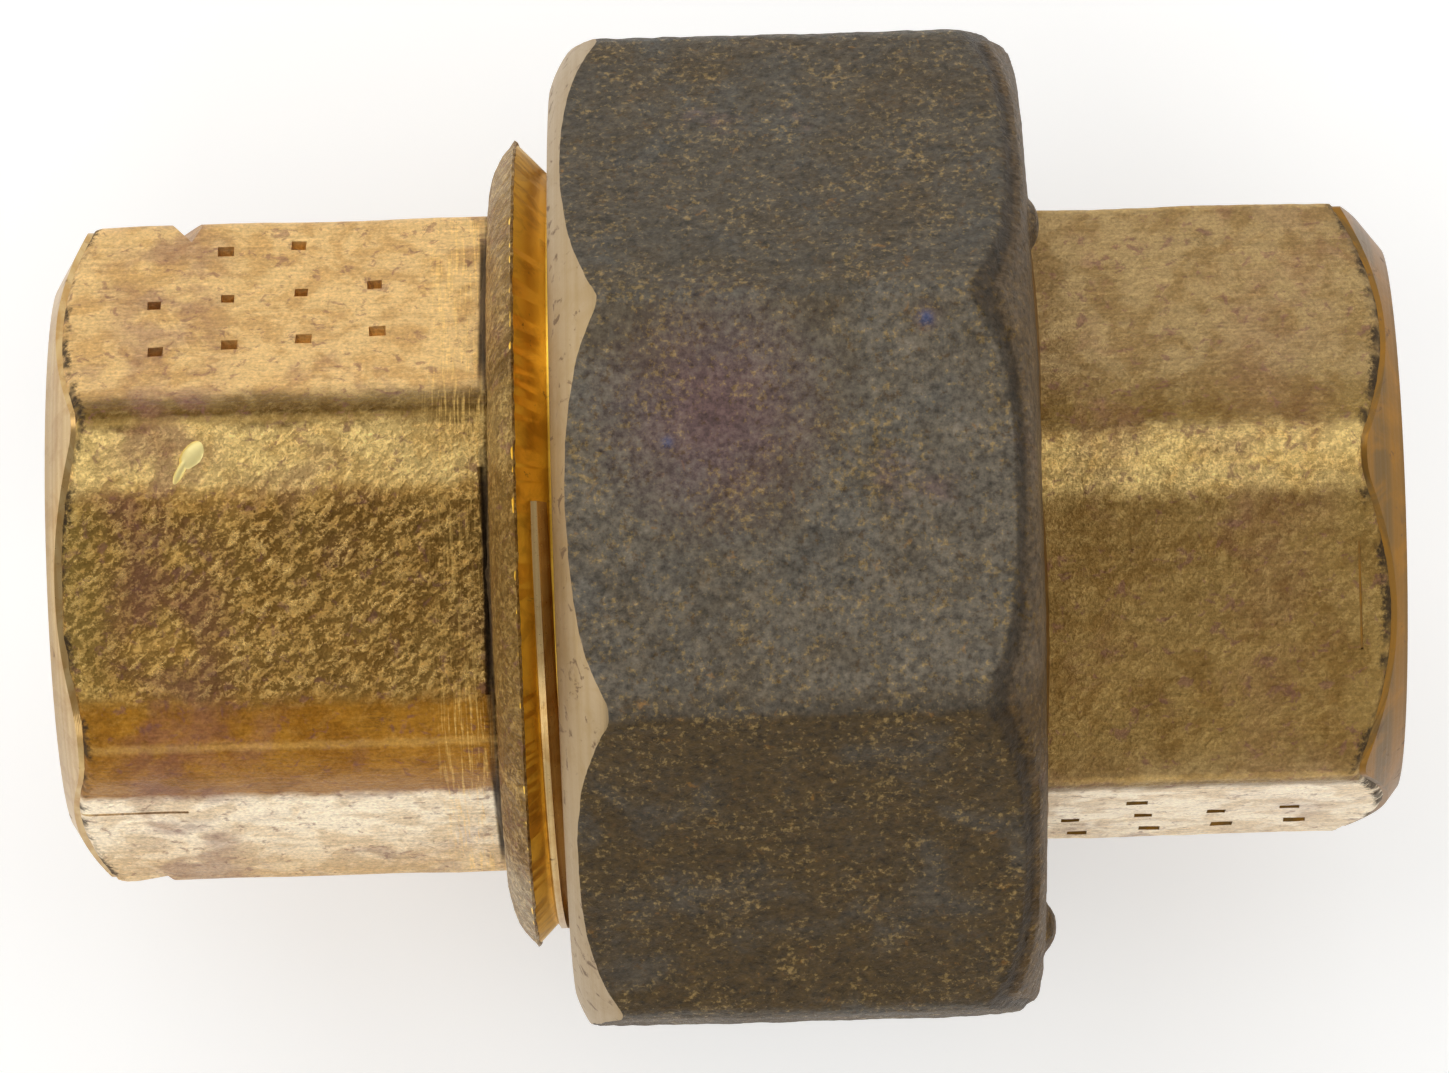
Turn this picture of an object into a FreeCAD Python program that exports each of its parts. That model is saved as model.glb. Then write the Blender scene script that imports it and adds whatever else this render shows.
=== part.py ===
import FreeCAD, Part
import math
import os
import Sketcher

# A brass ground-joint pipe union, in millimetres. The pipe axis is X, with the threaded end on -X and the
# tail end on +X. +Z is up: the union lies with one flat of its nut on the table. The origin is on the pipe
# axis, halfway between the two end faces.

# ---------------------------------------------------------------- driving dimensions

DIMENSIONS = [
    # alias, value, meaning
    ("hex_flats", 27.0, "wrench size of both hexagons"),
    ("hex_corner", 1.6, "rounding of the long edges of the hexagons"),
    ("threaded_chamfer", 30.0, "angle between the left wrench chamfer and its end face, degrees"),
    ("tail_chamfer", 38.0, "angle between the right wrench chamfer and its end face, degrees"),
    ("wrench_inset", 0.9, "how far inside the flats a wrench chamfer starts"),
    ("threaded_hex_turn", 11.0, "turn of the left hexagon about the axis, degrees"),
    ("tail_hex_turn", 23.0, "turn of the right hexagon about the axis, degrees"),
    ("threaded_hex_length", 20.0, "left hexagon, from its end face to the collar"),
    ("tail_hex_length", 16.9, "right hexagon, from its end face to the neck"),
    ("port_diameter", 18.26, "wall of each pipe port at the crests of its thread"),
    ("port_depth", 14.0, "depth of each port from its end face"),
    ("port_mouth", 21.4, "diameter of the countersink at the mouth of each port"),
    ("passage_diameter", 16.0, "clear waterway between the ports"),
    ("passage_cone", 1.2, "length of the drill cone between a port and the passage"),
    ("collar_root", 31.6, "diameter of the collar where it leaves the hexagon"),
    ("collar_cone", 1.45, "length of the cone from the hexagon to the rim of the collar"),
    ("rim_rise", 0.8, "how far the rim of the collar stands outside the union thread"),
    ("collar_length", 15.5, "from the left hexagon to the seat end of the collar"),
    ("relief_slope", 38.0, "angle of the relief groove's wall beside the rim, degrees"),
    ("thread_pitch", 1.5875, "pitch of the union thread, 16 turns to the inch"),
    ("thread_depth", 0.85, "depth of the union thread, crest to root"),
    ("thread_crest", 0.3, "width of the flat crest of the union thread"),
    ("thread_valley", 0.3, "width of the flat between two turns of the union thread, at its root"),
    ("thread_clearance", 0.1, "gap between the two union threads, all round the profile"),
    ("thread_start", 0.85, "from the rim of the collar to the middle of the first thread crest"),
    ("thread_start_turn", -2.0, "where the first thread crest starts, degrees about the axis"),
    ("seat_angle", 45.0, "half angle of the conical seat, degrees"),
    ("seat_mouth", 28.0, "diameter of the conical seat at the end of the collar"),
    ("seat_contact", 24.0, "diameter of the ring where the ball touches the seat"),
    ("seat_gap", 0.08, "gap left between ball and seat, as hand tight"),
    ("nose_diameter", 19.4, "front of the ball nose"),
    ("shoulder_gap", 1.05, "from the end of the collar to the shoulder of the tail"),
    ("shoulder_thickness", 4.0, "thickness of the shoulder of the tail"),
    ("shoulder_clearance", 0.25, "gap between the shoulder and the crests of the nut thread"),
    ("shoulder_lap", 1.15, "how far the lip of the nut laps over the shoulder"),
    ("lip_play", 0.06, "end play between the shoulder and the lip of the nut"),
    ("lip_thickness", 4.5, "thickness of the lip of the nut"),
    ("lip_clearance", 0.26, "gap between the lip bore and the corners of the tail hexagon"),
    ("neck_clearance", 0.35, "gap between the lip bore and the round neck of the tail"),
    ("neck_inset", 0.4, "how far the tail hexagon reaches into the lip bore"),
    ("nut_wall", 4.5, "wall of the nut over the thread, at its flats"),
    ("nut_corner", 1.0, "rounding of the long edges of the nut"),
    ("nut_standoff", 1.75, "from the rim of the collar to the nut, as hand tight"),
    ("nut_face_inset", 1.9, "how far inside the flats the cast right face of the nut ends"),
    ("nut_front_inset", 0.8, "how far inside the flats the turned left face of the nut ends"),
    ("nut_chamfer", 45.0, "angle between the turned chamfer and the left face, degrees"),
    ("nut_round", 4.0, "radius of the cast shoulder at the right of the nut"),
    ("nut_face_fall", 0.3, "how much the cast right face falls away towards its rim"),
    ("nut_lead_in", 0.9, "depth of the countersink in front of the nut thread"),
    ("nut_relief_depth", 0.25, "how far the clearance bore stands outside the nut thread"),
    ("nut_relief_length", 4.4, "length of the clearance bore in front of the lip"),
    ("pip_diameter", 2.3, "cast pips on the right face of the nut"),
    ("pip_height", 0.5, "height of the pips over the face"),
    ("pip_inset", 1.5, "from the rim of the right face to the middle of a pip"),
    ("pip_turn", -42.0, "turn of the first pip about the axis, degrees"),
]

PIP_COUNT = 3
HEX_SIDES = 6
NUT_SIDES = 8

document = FreeCAD.newDocument("pipe_union")
sheet = document.addObject("Spreadsheet::Sheet", "sizes")


class Size:
    """A length or an angle: its number, and the formula over the sheet that gives it."""

    def __init__(self, number, formula=None):
        self.number = number
        self.formula = str(number) if formula is None else formula

    def join(self, other, sign, number):
        other = other if isinstance(other, Size) else Size(other)
        return Size(number(self.number, other.number), "(%s %s %s)" % (self.formula, sign, other.formula))

    def __add__(self, other):
        return self.join(other, "+", lambda a, b: a + b)

    def __sub__(self, other):
        return self.join(other, "-", lambda a, b: a - b)

    def __mul__(self, other):
        return self.join(other, "*", lambda a, b: a * b)

    def __truediv__(self, other):
        return self.join(other, "/", lambda a, b: a / b)


def tangent(angle):
    return Size(math.tan(math.radians(angle.number)), "tan(%s * 1 deg)" % angle.formula)


def cosine(angle):
    return Size(math.cos(math.radians(angle.number)), "cos(%s * 1 deg)" % angle.formula)


def root(square):
    return Size(math.sqrt(square.number), "sqrt(%s)" % square.formula)


class Sheet:
    """The cells of the sheet by their aliases, each as a Size."""

    def __init__(self):
        for row, (alias, value, meaning) in enumerate(DIMENSIONS, start=1):
            sheet.set("A%d" % row, meaning)
            sheet.set("B%d" % row, str(value))
            sheet.setAlias("B%d" % row, alias)
            setattr(self, alias, Size(value, "sizes.%s" % alias))


size = Sheet()
document.recompute()

# ---------------------------------------------------------------- sizes that follow from the others

# Radii, worked outwards from the hexagon: the tail's hexagon passes through the lip of the nut, the lip holds
# the shoulder, the shoulder passes through the nut's thread, and that thread fits the collar's.
hex_radius = size.hex_flats / 2 / cosine(Size(180.0 / HEX_SIDES))
lip_radius = hex_radius + size.lip_clearance
neck_radius = lip_radius - size.neck_clearance
shoulder_radius = lip_radius + size.shoulder_lap
nut_minor_radius = shoulder_radius + size.shoulder_clearance
thread_root_radius = nut_minor_radius - size.thread_clearance
thread_radius = thread_root_radius + size.thread_depth
rim_radius = thread_radius + size.rim_rise
nut_flats = (thread_radius + size.nut_wall) * 2
nut_face_radius = nut_flats / 2 - size.nut_face_inset
nut_front_radius = nut_flats / 2 - size.nut_front_inset
nut_relief_radius = thread_radius + size.thread_clearance + size.nut_relief_depth

# Places along the axis, from the end face of the threaded end.
rim_place = size.threaded_hex_length + size.collar_cone
collar_end = size.threaded_hex_length + size.collar_length
nut_left = rim_place + size.nut_standoff
shoulder_left = collar_end + size.shoulder_gap
shoulder_right = shoulder_left + size.shoulder_thickness
lip_left = shoulder_right + size.lip_play
nut_right = lip_left + size.lip_thickness
nut_width = nut_right - nut_left
tail_hex_left = nut_right - size.neck_inset
overall_length = tail_hex_left + size.tail_hex_length
first_crest = rim_place + size.thread_start

# Each flank of the union thread runs this far along the axis for each millimetre that it rises.
flank_slope = (size.thread_pitch - size.thread_crest - size.thread_valley) / 2 / size.thread_depth

# The ball of the tail touches the conical seat on the contact ring.
seat_depth = (size.seat_mouth - size.passage_diameter) / 2 / tangent(size.seat_angle)
contact_place = collar_end - (size.seat_mouth - size.seat_contact) / 2 / tangent(size.seat_angle)
ball_centre = contact_place + size.seat_contact / 2 * tangent(size.seat_angle)
ball_radius = size.seat_contact / 2 / cosine(size.seat_angle) - size.seat_gap

# ---------------------------------------------------------------- sketching

ORIGIN = -1
AXIS_X = -1
AXIS_Y = -2
START = 1
END = 2
CENTRE = 3
SPARE = 2.0     # how far a cutting outline runs past the metal that it cuts


def origin_plane(body, role):
    return [feature for feature in body.Origin.OriginFeatures if feature.Role == role][0]


def new_body(label, place):
    """A body whose own zero lies at a place along the axis counted from the left end face."""
    body = document.addObject("PartDesign::Body", label)
    body.Label = label
    body.setExpression("Placement.Base.x", (place - overall_length / 2).formula)
    return body


def new_sketch(body, name, plane, offset=None, turn=None, turn_axis=FreeCAD.Vector(0, 0, 1)):
    sketch = body.newObject("Sketcher::SketchObject", name)
    sketch.AttachmentSupport = [(origin_plane(body, plane), "")]
    sketch.MapMode = "FlatFace"
    if turn is not None:
        rotation = FreeCAD.Rotation(turn_axis, turn.number)
        sketch.AttachmentOffset = FreeCAD.Placement(FreeCAD.Vector(0, 0, 0), rotation)
        sketch.setExpression("AttachmentOffset.Rotation.Angle", turn.formula)
    if offset is not None:
        sketch.setExpression("AttachmentOffset.Base.z", offset.formula)
    return sketch


def dimension(sketch, kind, size_value, *where):
    """Adds one driving dimension and binds it to the sheet."""
    index = sketch.addConstraint(Sketcher.Constraint(kind, *where, size_value.number))
    sketch.setExpression("Constraints[%d]" % index, size_value.formula)


def place_point(sketch, line, end, along, across):
    """Fixes one end of a line at (along, across). A plain 0 puts it on the sketch's own axis."""
    if isinstance(along, Size):
        dimension(sketch, "DistanceX", along, ORIGIN, START, line, end)
    else:
        sketch.addConstraint(Sketcher.Constraint("PointOnObject", line, end, AXIS_Y))
    if isinstance(across, Size):
        dimension(sketch, "DistanceY", across, ORIGIN, START, line, end)
    else:
        sketch.addConstraint(Sketcher.Constraint("PointOnObject", line, end, AXIS_X))


def as_vector(point):
    along, across = point[0], point[1]
    numbers = [value.number if isinstance(value, Size) else float(value) for value in (along, across)]
    return FreeCAD.Vector(numbers[0], numbers[1], 0)


def arc_between(start, end, radius, bulge):
    """The short arc from start to end, bulging to the left (+1) or right (-1) of that way."""
    way = end - start
    side = FreeCAD.Vector(-way.y, way.x, 0).normalize() * bulge
    middle = (start + end) * 0.5
    back = math.sqrt(radius ** 2 - (way.Length / 2) ** 2)
    centre = middle - side * back
    return Part.Arc(start, centre + side * radius, end)


def outline(sketch, corners):
    """A closed outline. A corner is (along, across), or (along, across, radius, bulge) if the edge that
    leaves it is an arc."""
    count = len(corners)
    points = [as_vector(corner) for corner in corners]
    starts = []
    ends = []
    for index, corner in enumerate(corners):
        begin, finish = points[index], points[(index + 1) % count]
        if len(corner) == 2:
            edge = sketch.addGeometry(Part.LineSegment(begin, finish), False)
            starts.append((edge, START))
            ends.append((edge, END))
        else:
            edge = sketch.addGeometry(arc_between(begin, finish, corner[2].number, corner[3]), False)
            runs_forward = sketch.getPoint(edge, START).distanceToPoint(begin) < 1e-6
            starts.append((edge, START if runs_forward else END))
            ends.append((edge, END if runs_forward else START))
    for index, corner in enumerate(corners):
        edge, end = starts[index]
        before = ends[index - 1]
        sketch.addConstraint(Sketcher.Constraint("Coincident", before[0], before[1], edge, end))
        place_point(sketch, edge, end, corner[0], corner[1])
        if len(corner) > 2:
            dimension(sketch, "Radius", corner[2], edge)


def regular_polygon(sketch, sides, circumradius):
    """A regular polygon about the origin with a flat square to the sketch's +Y."""
    corner_angles = [math.pi / 2 - math.pi / sides + 2 * math.pi * k / sides for k in range(sides)]
    points = [FreeCAD.Vector(math.cos(angle), math.sin(angle), 0) * circumradius.number
              for angle in corner_angles]
    circle = sketch.addGeometry(Part.Circle(FreeCAD.Vector(), FreeCAD.Vector(0, 0, 1), circumradius.number),
                                True)
    sketch.addConstraint(Sketcher.Constraint("Coincident", circle, CENTRE, ORIGIN, START))
    dimension(sketch, "Radius", circumradius, circle)
    lines = [sketch.addGeometry(Part.LineSegment(points[k], points[(k + 1) % sides]), False)
             for k in range(sides)]
    for k, line in enumerate(lines):
        after = lines[(k + 1) % sides]
        sketch.addConstraint(Sketcher.Constraint("Coincident", line, END, after, START))
        sketch.addConstraint(Sketcher.Constraint("PointOnObject", line, START, circle))
        if k > 0:
            sketch.addConstraint(Sketcher.Constraint("Equal", lines[0], line))
    sketch.addConstraint(Sketcher.Constraint("Horizontal", lines[0]))


# ---------------------------------------------------------------- features

def turned(body, kind, name, corners):
    """A full turn of an outline (along the axis, radius) about the pipe axis, added or cut away."""
    sketch = new_sketch(body, name + "_outline", "XZ_Plane")
    outline(sketch, corners)
    document.recompute()
    volume_before = body.Shape.Volume if kind == "PartDesign::Groove" else 0.0
    feature = body.newObject(kind, name)
    feature.Profile = sketch
    feature.ReferenceAxis = (sketch, ["H_Axis"])
    feature.Angle = 360.0
    document.recompute()
    if kind == "PartDesign::Groove" and not body.Shape.Volume < volume_before:
        raise RuntimeError(name + " cuts nothing")
    return feature


def add_prism(body, name, sides, across_flats, length, corner, start=None, turn=None):
    """A prism along the axis with its long edges rounded."""
    sketch = new_sketch(body, name + "_outline", "YZ_Plane", start, turn)
    regular_polygon(sketch, sides, across_flats / 2 / cosine(Size(180.0 / sides)))
    prism = body.newObject("PartDesign::Pad", name)
    prism.Profile = sketch
    prism.setExpression("Length", length.formula)
    document.recompute()
    long_edges = []
    for index, edge in enumerate(prism.Shape.Edges, start=1):
        direction = edge.lastVertex().Point - edge.firstVertex().Point
        if abs(direction.x) > 0.9 * direction.Length:
            long_edges.append("Edge%d" % index)
    rounding = body.newObject("PartDesign::Fillet", name + "_edges")
    rounding.Base = (prism, long_edges)
    rounding.setExpression("Radius", corner.formula)
    document.recompute()
    return rounding


def wrench_end(body, name, end_face, chamfer):
    """Turns the wrench chamfer on a hexagon, at the zero of the body or at a place to its right."""
    rim = size.hex_flats / 2 - size.wrench_inset
    reach = hex_radius + SPARE
    depth = (reach - rim) * tangent(chamfer)
    inner = end_face - depth if isinstance(end_face, Size) else depth
    corners = [(end_face, rim), (inner, reach), (end_face, reach)]
    turned(body, "PartDesign::Groove", name, corners)


def helix(body, kind, name, corners, travel):
    """Sweeps a thread profile (along the axis, radius) on a right-hand helix about the pipe axis."""
    sketch = new_sketch(body, name + "_profile", "XZ_Plane", turn=size.thread_start_turn,
                        turn_axis=FreeCAD.Vector(1, 0, 0))
    outline(sketch, corners)
    document.recompute()
    volume_before = body.Shape.Volume
    feature = body.newObject(kind, name)
    feature.Profile = sketch
    feature.ReferenceAxis = (sketch, ["H_Axis"])
    feature.Mode = "pitch-height-angle"
    feature.setExpression("Pitch", size.thread_pitch.formula)
    feature.setExpression("Height", travel.formula)
    document.recompute()
    change = body.Shape.Volume - volume_before
    if change * (1 if kind == "PartDesign::AdditiveHelix" else -1) <= 0:
        raise RuntimeError(name + " changes nothing")
    return feature


def flank_run(height):
    """How far along the axis a thread flank runs over a height."""
    return height * flank_slope


# ---------------------------------------------------------------- threaded end

ROOT_BITE = Size(0.15)      # the thread ridge is sunk this far into the collar before they are joined
BLANK_TURNS = 2             # the collar is cut to length from a blank this many turns of thread longer


def make_threaded_end():
    body = new_body("threaded_end", Size(0.0))
    add_prism(body, "wrench_hexagon", HEX_SIDES, size.hex_flats, size.threaded_hex_length, size.hex_corner,
              turn=size.threaded_hex_turn)
    relief_end = rim_place + (rim_radius - thread_root_radius) * tangent(size.relief_slope)
    blank_end = collar_end + size.thread_pitch * BLANK_TURNS
    turned(body, "PartDesign::Revolution", "collar", [
        (size.threaded_hex_length - size.collar_cone, 0),
        (size.threaded_hex_length - size.collar_cone, size.passage_diameter / 2),
        (size.threaded_hex_length, size.collar_root / 2),
        (rim_place, rim_radius),
        (relief_end, thread_root_radius),
        (blank_end, thread_root_radius),
        (blank_end, 0),
    ])
    wrench_end(body, "left_wrench_chamfer", 0, size.threaded_chamfer)

    half_crest = size.thread_crest / 2
    half_root = half_crest + flank_run(size.thread_depth + ROOT_BITE)
    ridge_foot = thread_root_radius - ROOT_BITE
    helix(body, "PartDesign::AdditiveHelix", "union_thread", [
        (first_crest - half_root, ridge_foot),
        (first_crest - half_crest, thread_radius),
        (first_crest + half_crest, thread_radius),
        (first_crest + half_root, ridge_foot),
    ], blank_end - first_crest - half_root)

    past_end = blank_end + SPARE
    lead_radius = thread_root_radius - ROOT_BITE * 2
    turned(body, "PartDesign::Groove", "thread_lead", [
        (collar_end - (rim_radius - lead_radius), rim_radius),
        (collar_end, lead_radius),
        (collar_end, 0),
        (past_end, 0),
        (past_end, rim_radius),
    ])

    mouth_depth = (size.port_mouth - size.port_diameter) / 2
    turned(body, "PartDesign::Groove", "port_and_seat", [
        (0, 0),
        (0, size.port_mouth / 2),
        (mouth_depth, size.port_diameter / 2),
        (size.port_depth, size.port_diameter / 2),
        (size.port_depth + size.passage_cone, size.passage_diameter / 2),
        (collar_end - seat_depth, size.passage_diameter / 2),
        (collar_end, size.seat_mouth / 2),
        (collar_end, 0),
    ])
    return body


# ---------------------------------------------------------------- tail end

def make_tail_end():
    nose_radius = size.nose_diameter / 2
    nose_place = ball_centre - root(ball_radius * ball_radius - nose_radius * nose_radius)
    body = new_body("tail_end", nose_place)

    ball_edge_radius = size.seat_mouth / 2 + size.shoulder_gap / 2
    ball_edge = ball_centre - root(ball_radius * ball_radius - ball_edge_radius * ball_edge_radius)
    neck_end = tail_hex_left - nose_place
    hex_end = overall_length - nose_place
    add_prism(body, "wrench_hexagon", HEX_SIDES, size.hex_flats, size.tail_hex_length, size.hex_corner,
              start=neck_end, turn=size.tail_hex_turn)
    turned(body, "PartDesign::Revolution", "nose_and_shoulder", [
        (0, 0),
        (0, nose_radius, ball_radius, +1),
        (ball_edge - nose_place, ball_edge_radius),
        (shoulder_left - nose_place, shoulder_radius),
        (shoulder_right - nose_place, shoulder_radius),
        (shoulder_right - nose_place, neck_radius),
        (neck_end, neck_radius),
        (neck_end, 0),
    ])
    wrench_end(body, "right_wrench_chamfer", hex_end, size.tail_chamfer)

    mouth_depth = (size.port_mouth - size.port_diameter) / 2
    turned(body, "PartDesign::Groove", "port_and_passage", [
        (0, 0),
        (0, size.passage_diameter / 2),
        (hex_end - size.port_depth - size.passage_cone, size.passage_diameter / 2),
        (hex_end - size.port_depth, size.port_diameter / 2),
        (hex_end - mouth_depth, size.port_diameter / 2),
        (hex_end, size.port_mouth / 2),
        (hex_end, 0),
    ])
    return body


# ---------------------------------------------------------------- union nut

THREADS_AHEAD = 2       # the nut's thread is cut from this many pitches in front of the collar's first crest
THREAD_RUN_OUT = 0.7    # and it runs out into the clearance bore by this share of a pitch
ROLL_SHARE = 0.95       # share of its radius over which the cast shoulder is round


def make_union_nut():
    body = new_body("union_nut", nut_left)
    add_prism(body, "nut_octagon", NUT_SIDES, nut_flats, nut_width, size.nut_corner)

    reach = nut_flats / 2 / cosine(Size(180.0 / NUT_SIDES)) + SPARE
    turned(body, "PartDesign::Groove", "turned_chamfer", [
        (0, nut_front_radius),
        ((reach - nut_front_radius) * tangent(size.nut_chamfer), reach),
        (0, reach),
    ])

    # The right face is as cast: it falls away a little to its rim and rolls over into the flats.
    face_rim = nut_width - size.nut_face_fall
    past_face = nut_width + SPARE
    rolled = size.nut_round * size.nut_round
    roll_top = nut_face_radius + size.nut_round * ROLL_SHARE
    rise = roll_top - nut_face_radius
    roll_place = face_rim - size.nut_round + root(rolled - rise * rise)
    turned(body, "PartDesign::Groove", "cast_shoulder", [
        (nut_width, lip_radius - SPARE),
        (nut_width, lip_radius),
        (face_rim, nut_face_radius, size.nut_round, -1),
        (roll_place, roll_top),
        (roll_place - (reach - roll_top), reach),
        (past_face, reach),
        (past_face, lip_radius - SPARE),
    ])

    minor_place = size.nut_lead_in
    lip_place = lip_left - nut_left
    relief_place = lip_place - size.nut_relief_length
    turned(body, "PartDesign::Groove", "bore", [
        (0, 0),
        (0, nut_minor_radius + size.nut_lead_in),
        (minor_place, nut_minor_radius),
        (relief_place, nut_minor_radius),
        (relief_place, nut_relief_radius),
        (lip_place, nut_relief_radius),
        (lip_place, lip_radius),
        (nut_width, lip_radius),
        (nut_width, 0),
    ])

    groove_middle = first_crest - nut_left - size.thread_pitch * THREADS_AHEAD
    half_floor = size.thread_crest / 2
    slant_gap = size.thread_clearance * root(flank_slope * flank_slope + 1)
    half_mouth = half_floor + flank_run(size.thread_depth) + slant_gap
    floor_drop = flank_run(size.thread_clearance)
    helix(body, "PartDesign::SubtractiveHelix", "nut_thread", [
        (groove_middle - half_mouth, thread_root_radius),
        (groove_middle - half_floor - slant_gap + floor_drop, thread_radius + size.thread_clearance),
        (groove_middle + half_floor + slant_gap - floor_drop, thread_radius + size.thread_clearance),
        (groove_middle + half_mouth, thread_root_radius),
    ], relief_place - groove_middle + size.thread_pitch * THREAD_RUN_OUT)

    pip_circle = new_sketch(body, "pip_outline", "YZ_Plane", nut_width - size.nut_face_fall, size.pip_turn)
    circle = pip_circle.addGeometry(Part.Circle(FreeCAD.Vector(0, nut_face_radius.number, 0),
                                                FreeCAD.Vector(0, 0, 1), size.pip_diameter.number / 2), False)
    dimension(pip_circle, "Diameter", size.pip_diameter, circle)
    pip_circle.addConstraint(Sketcher.Constraint("PointOnObject", circle, CENTRE, AXIS_Y))
    dimension(pip_circle, "DistanceY", nut_face_radius - size.pip_inset, ORIGIN, START, circle, CENTRE)
    pip = body.newObject("PartDesign::Pad", "pip")
    pip.Profile = pip_circle
    pip.setExpression("Length", (size.nut_face_fall / 2 + size.pip_height).formula)
    document.recompute()
    pips = body.newObject("PartDesign::PolarPattern", "pips")
    pips.Originals = [pip]
    pips.Axis = (pip_circle, ["N_Axis"])
    pips.Angle = 360.0
    pips.Occurrences = PIP_COUNT
    body.Tip = pips
    document.recompute()
    return body


# ---------------------------------------------------------------- build, check and write

bodies = [make_threaded_end(), make_tail_end(), make_union_nut()]
document.recompute()

for item in document.Objects:
    if "Invalid" in item.State or "Error" in item.State:
        raise RuntimeError("%s did not build: %s" % (item.Name, item.State))
for body in bodies:
    if body.Shape.isNull() or not body.Shape.isValid() or len(body.Shape.Solids) != 1:
        raise RuntimeError("%s is not one valid solid" % body.Label)

os.makedirs("parts", exist_ok=True)
for body in bodies:
    body.Shape.exportStep("parts/%s.step" % body.Label)
    box = body.Shape.BoundBox
    print("%-14s x %7.2f to %7.2f  y %6.2f  z %6.2f  volume %9.1f"
          % (body.Label, box.XMin, box.XMax, box.YLength, box.ZLength, body.Shape.Volume))
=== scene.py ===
"""Pipe union: the detailed look of a brass ground-joint union around its CAD frame.

The pipe axis is X, with the threaded end on -X and the tail end on +X. Angles about the axis are counted
from straight up (+Z) towards +Y.
"""
import math

import bpy
from mathutils import Matrix, Vector


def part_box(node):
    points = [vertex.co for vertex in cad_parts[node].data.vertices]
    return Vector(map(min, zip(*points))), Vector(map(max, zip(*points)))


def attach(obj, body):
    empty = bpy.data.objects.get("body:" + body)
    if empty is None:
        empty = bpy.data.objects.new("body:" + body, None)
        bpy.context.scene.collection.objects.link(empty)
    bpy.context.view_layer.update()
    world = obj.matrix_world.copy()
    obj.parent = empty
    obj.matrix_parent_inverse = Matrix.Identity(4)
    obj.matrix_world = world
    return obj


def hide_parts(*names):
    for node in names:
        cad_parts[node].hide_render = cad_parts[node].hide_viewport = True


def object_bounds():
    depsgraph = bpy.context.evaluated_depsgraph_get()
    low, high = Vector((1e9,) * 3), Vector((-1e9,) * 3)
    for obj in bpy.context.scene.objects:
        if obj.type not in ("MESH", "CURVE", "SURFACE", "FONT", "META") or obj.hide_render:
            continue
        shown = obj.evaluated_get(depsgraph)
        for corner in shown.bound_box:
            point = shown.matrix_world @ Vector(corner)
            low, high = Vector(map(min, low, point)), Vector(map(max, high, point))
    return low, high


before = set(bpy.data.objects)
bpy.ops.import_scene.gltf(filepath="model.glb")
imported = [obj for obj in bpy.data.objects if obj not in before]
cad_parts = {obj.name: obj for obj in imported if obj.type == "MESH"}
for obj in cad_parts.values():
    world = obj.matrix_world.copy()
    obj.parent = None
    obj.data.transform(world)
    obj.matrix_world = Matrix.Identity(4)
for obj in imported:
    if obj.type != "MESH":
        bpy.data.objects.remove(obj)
CAD_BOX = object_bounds()

bl_info = {
    "name": "Pipe Union",
    "version": (1, 0, 0),
    "blender": (4, 5, 0),
    "location": "3D View > Sidebar > Pipe Union",
    "description": "Builds a worn brass pipe union with its forged ends, cast nut and studio",
    "category": "Object",
}

MM = 0.001
FULL_TURN = 2 * math.pi
HEX_SIDES = 6
HEX_STEP = math.radians(60)
NUT_SIDES = 8

# Material slots that every piece and every cutting tool shares, so a cut face keeps its finish.
SKIN, TURNED, BORE, FRESH = range(4)

THREADED_LOW, THREADED_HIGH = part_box("threaded_end")
TAIL_LOW, TAIL_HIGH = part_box("tail_end")
NUT_LOW, NUT_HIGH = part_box("union_nut")

# The joint inside the nut: the seat, the ball nose that beds on it, the shoulder and the lip.
SEAT_MOUTH = 14.0 * MM
BALL_MIDDLE = 12.0 * MM
SEAT_GAP = 0.08 * MM
NOSE_RADIUS = 9.7 * MM
BALL_EDGE = 14.525 * MM
SHOULDER_START = 1.05 * MM
SHOULDER_LENGTH = 4.0 * MM
SHOULDER_RADIUS = 16.998 * MM
SHOULDER_BEVEL = 0.25 * MM
NECK_RADIUS = 15.498 * MM
LIP_GAP = 0.06 * MM

# The cast nut: its rounded right shoulder, the core that shows past the flats, and the pips.
SHOULDER_ROUNDING = 4.0 * MM
CORE_STEP = 0.5 * MM
CORE_SHOWS = 0.45 * MM
PIPS = 3
PIP_HEIGHT = 0.35 * MM
PIP_RADIUS = 1.15 * MM
PIP_CIRCLE = 19.1 * MM
PIP_TURN = 42

# The forged hexagons: a radius for each long edge, from the one after the flat that faces the turn.
THREADED_CORNERS = [radius * MM for radius in (2.0, 1.2, 2.4, 3.2, 1.2, 5.0)]
TAIL_CORNERS = [radius * MM for radius in (2.6, 0.5, 3.0, 2.4, 0.5, 1.4)]

SMOOTH_ANGLE = math.radians(38)
OVERLAP = 0.1 * MM
JAW_PITCH = 3.37 * MM


# ---------------------------------------------------------------- settings

def length(name, description, millimetres):
    return bpy.props.FloatProperty(name=name, description=description, default=millimetres * MM,
                                   unit="LENGTH", precision=5)


def angle(name, description, degrees):
    return bpy.props.FloatProperty(name=name, description=description, default=math.radians(degrees),
                                   subtype="ANGLE")


def colour(name, description, red, green, blue):
    return bpy.props.FloatVectorProperty(name=name, description=description, default=(red, green, blue),
                                         subtype="COLOR", size=3, min=0.0, max=1.0)


def number(name, description, value):
    return bpy.props.FloatProperty(name=name, description=description, default=value)


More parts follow.
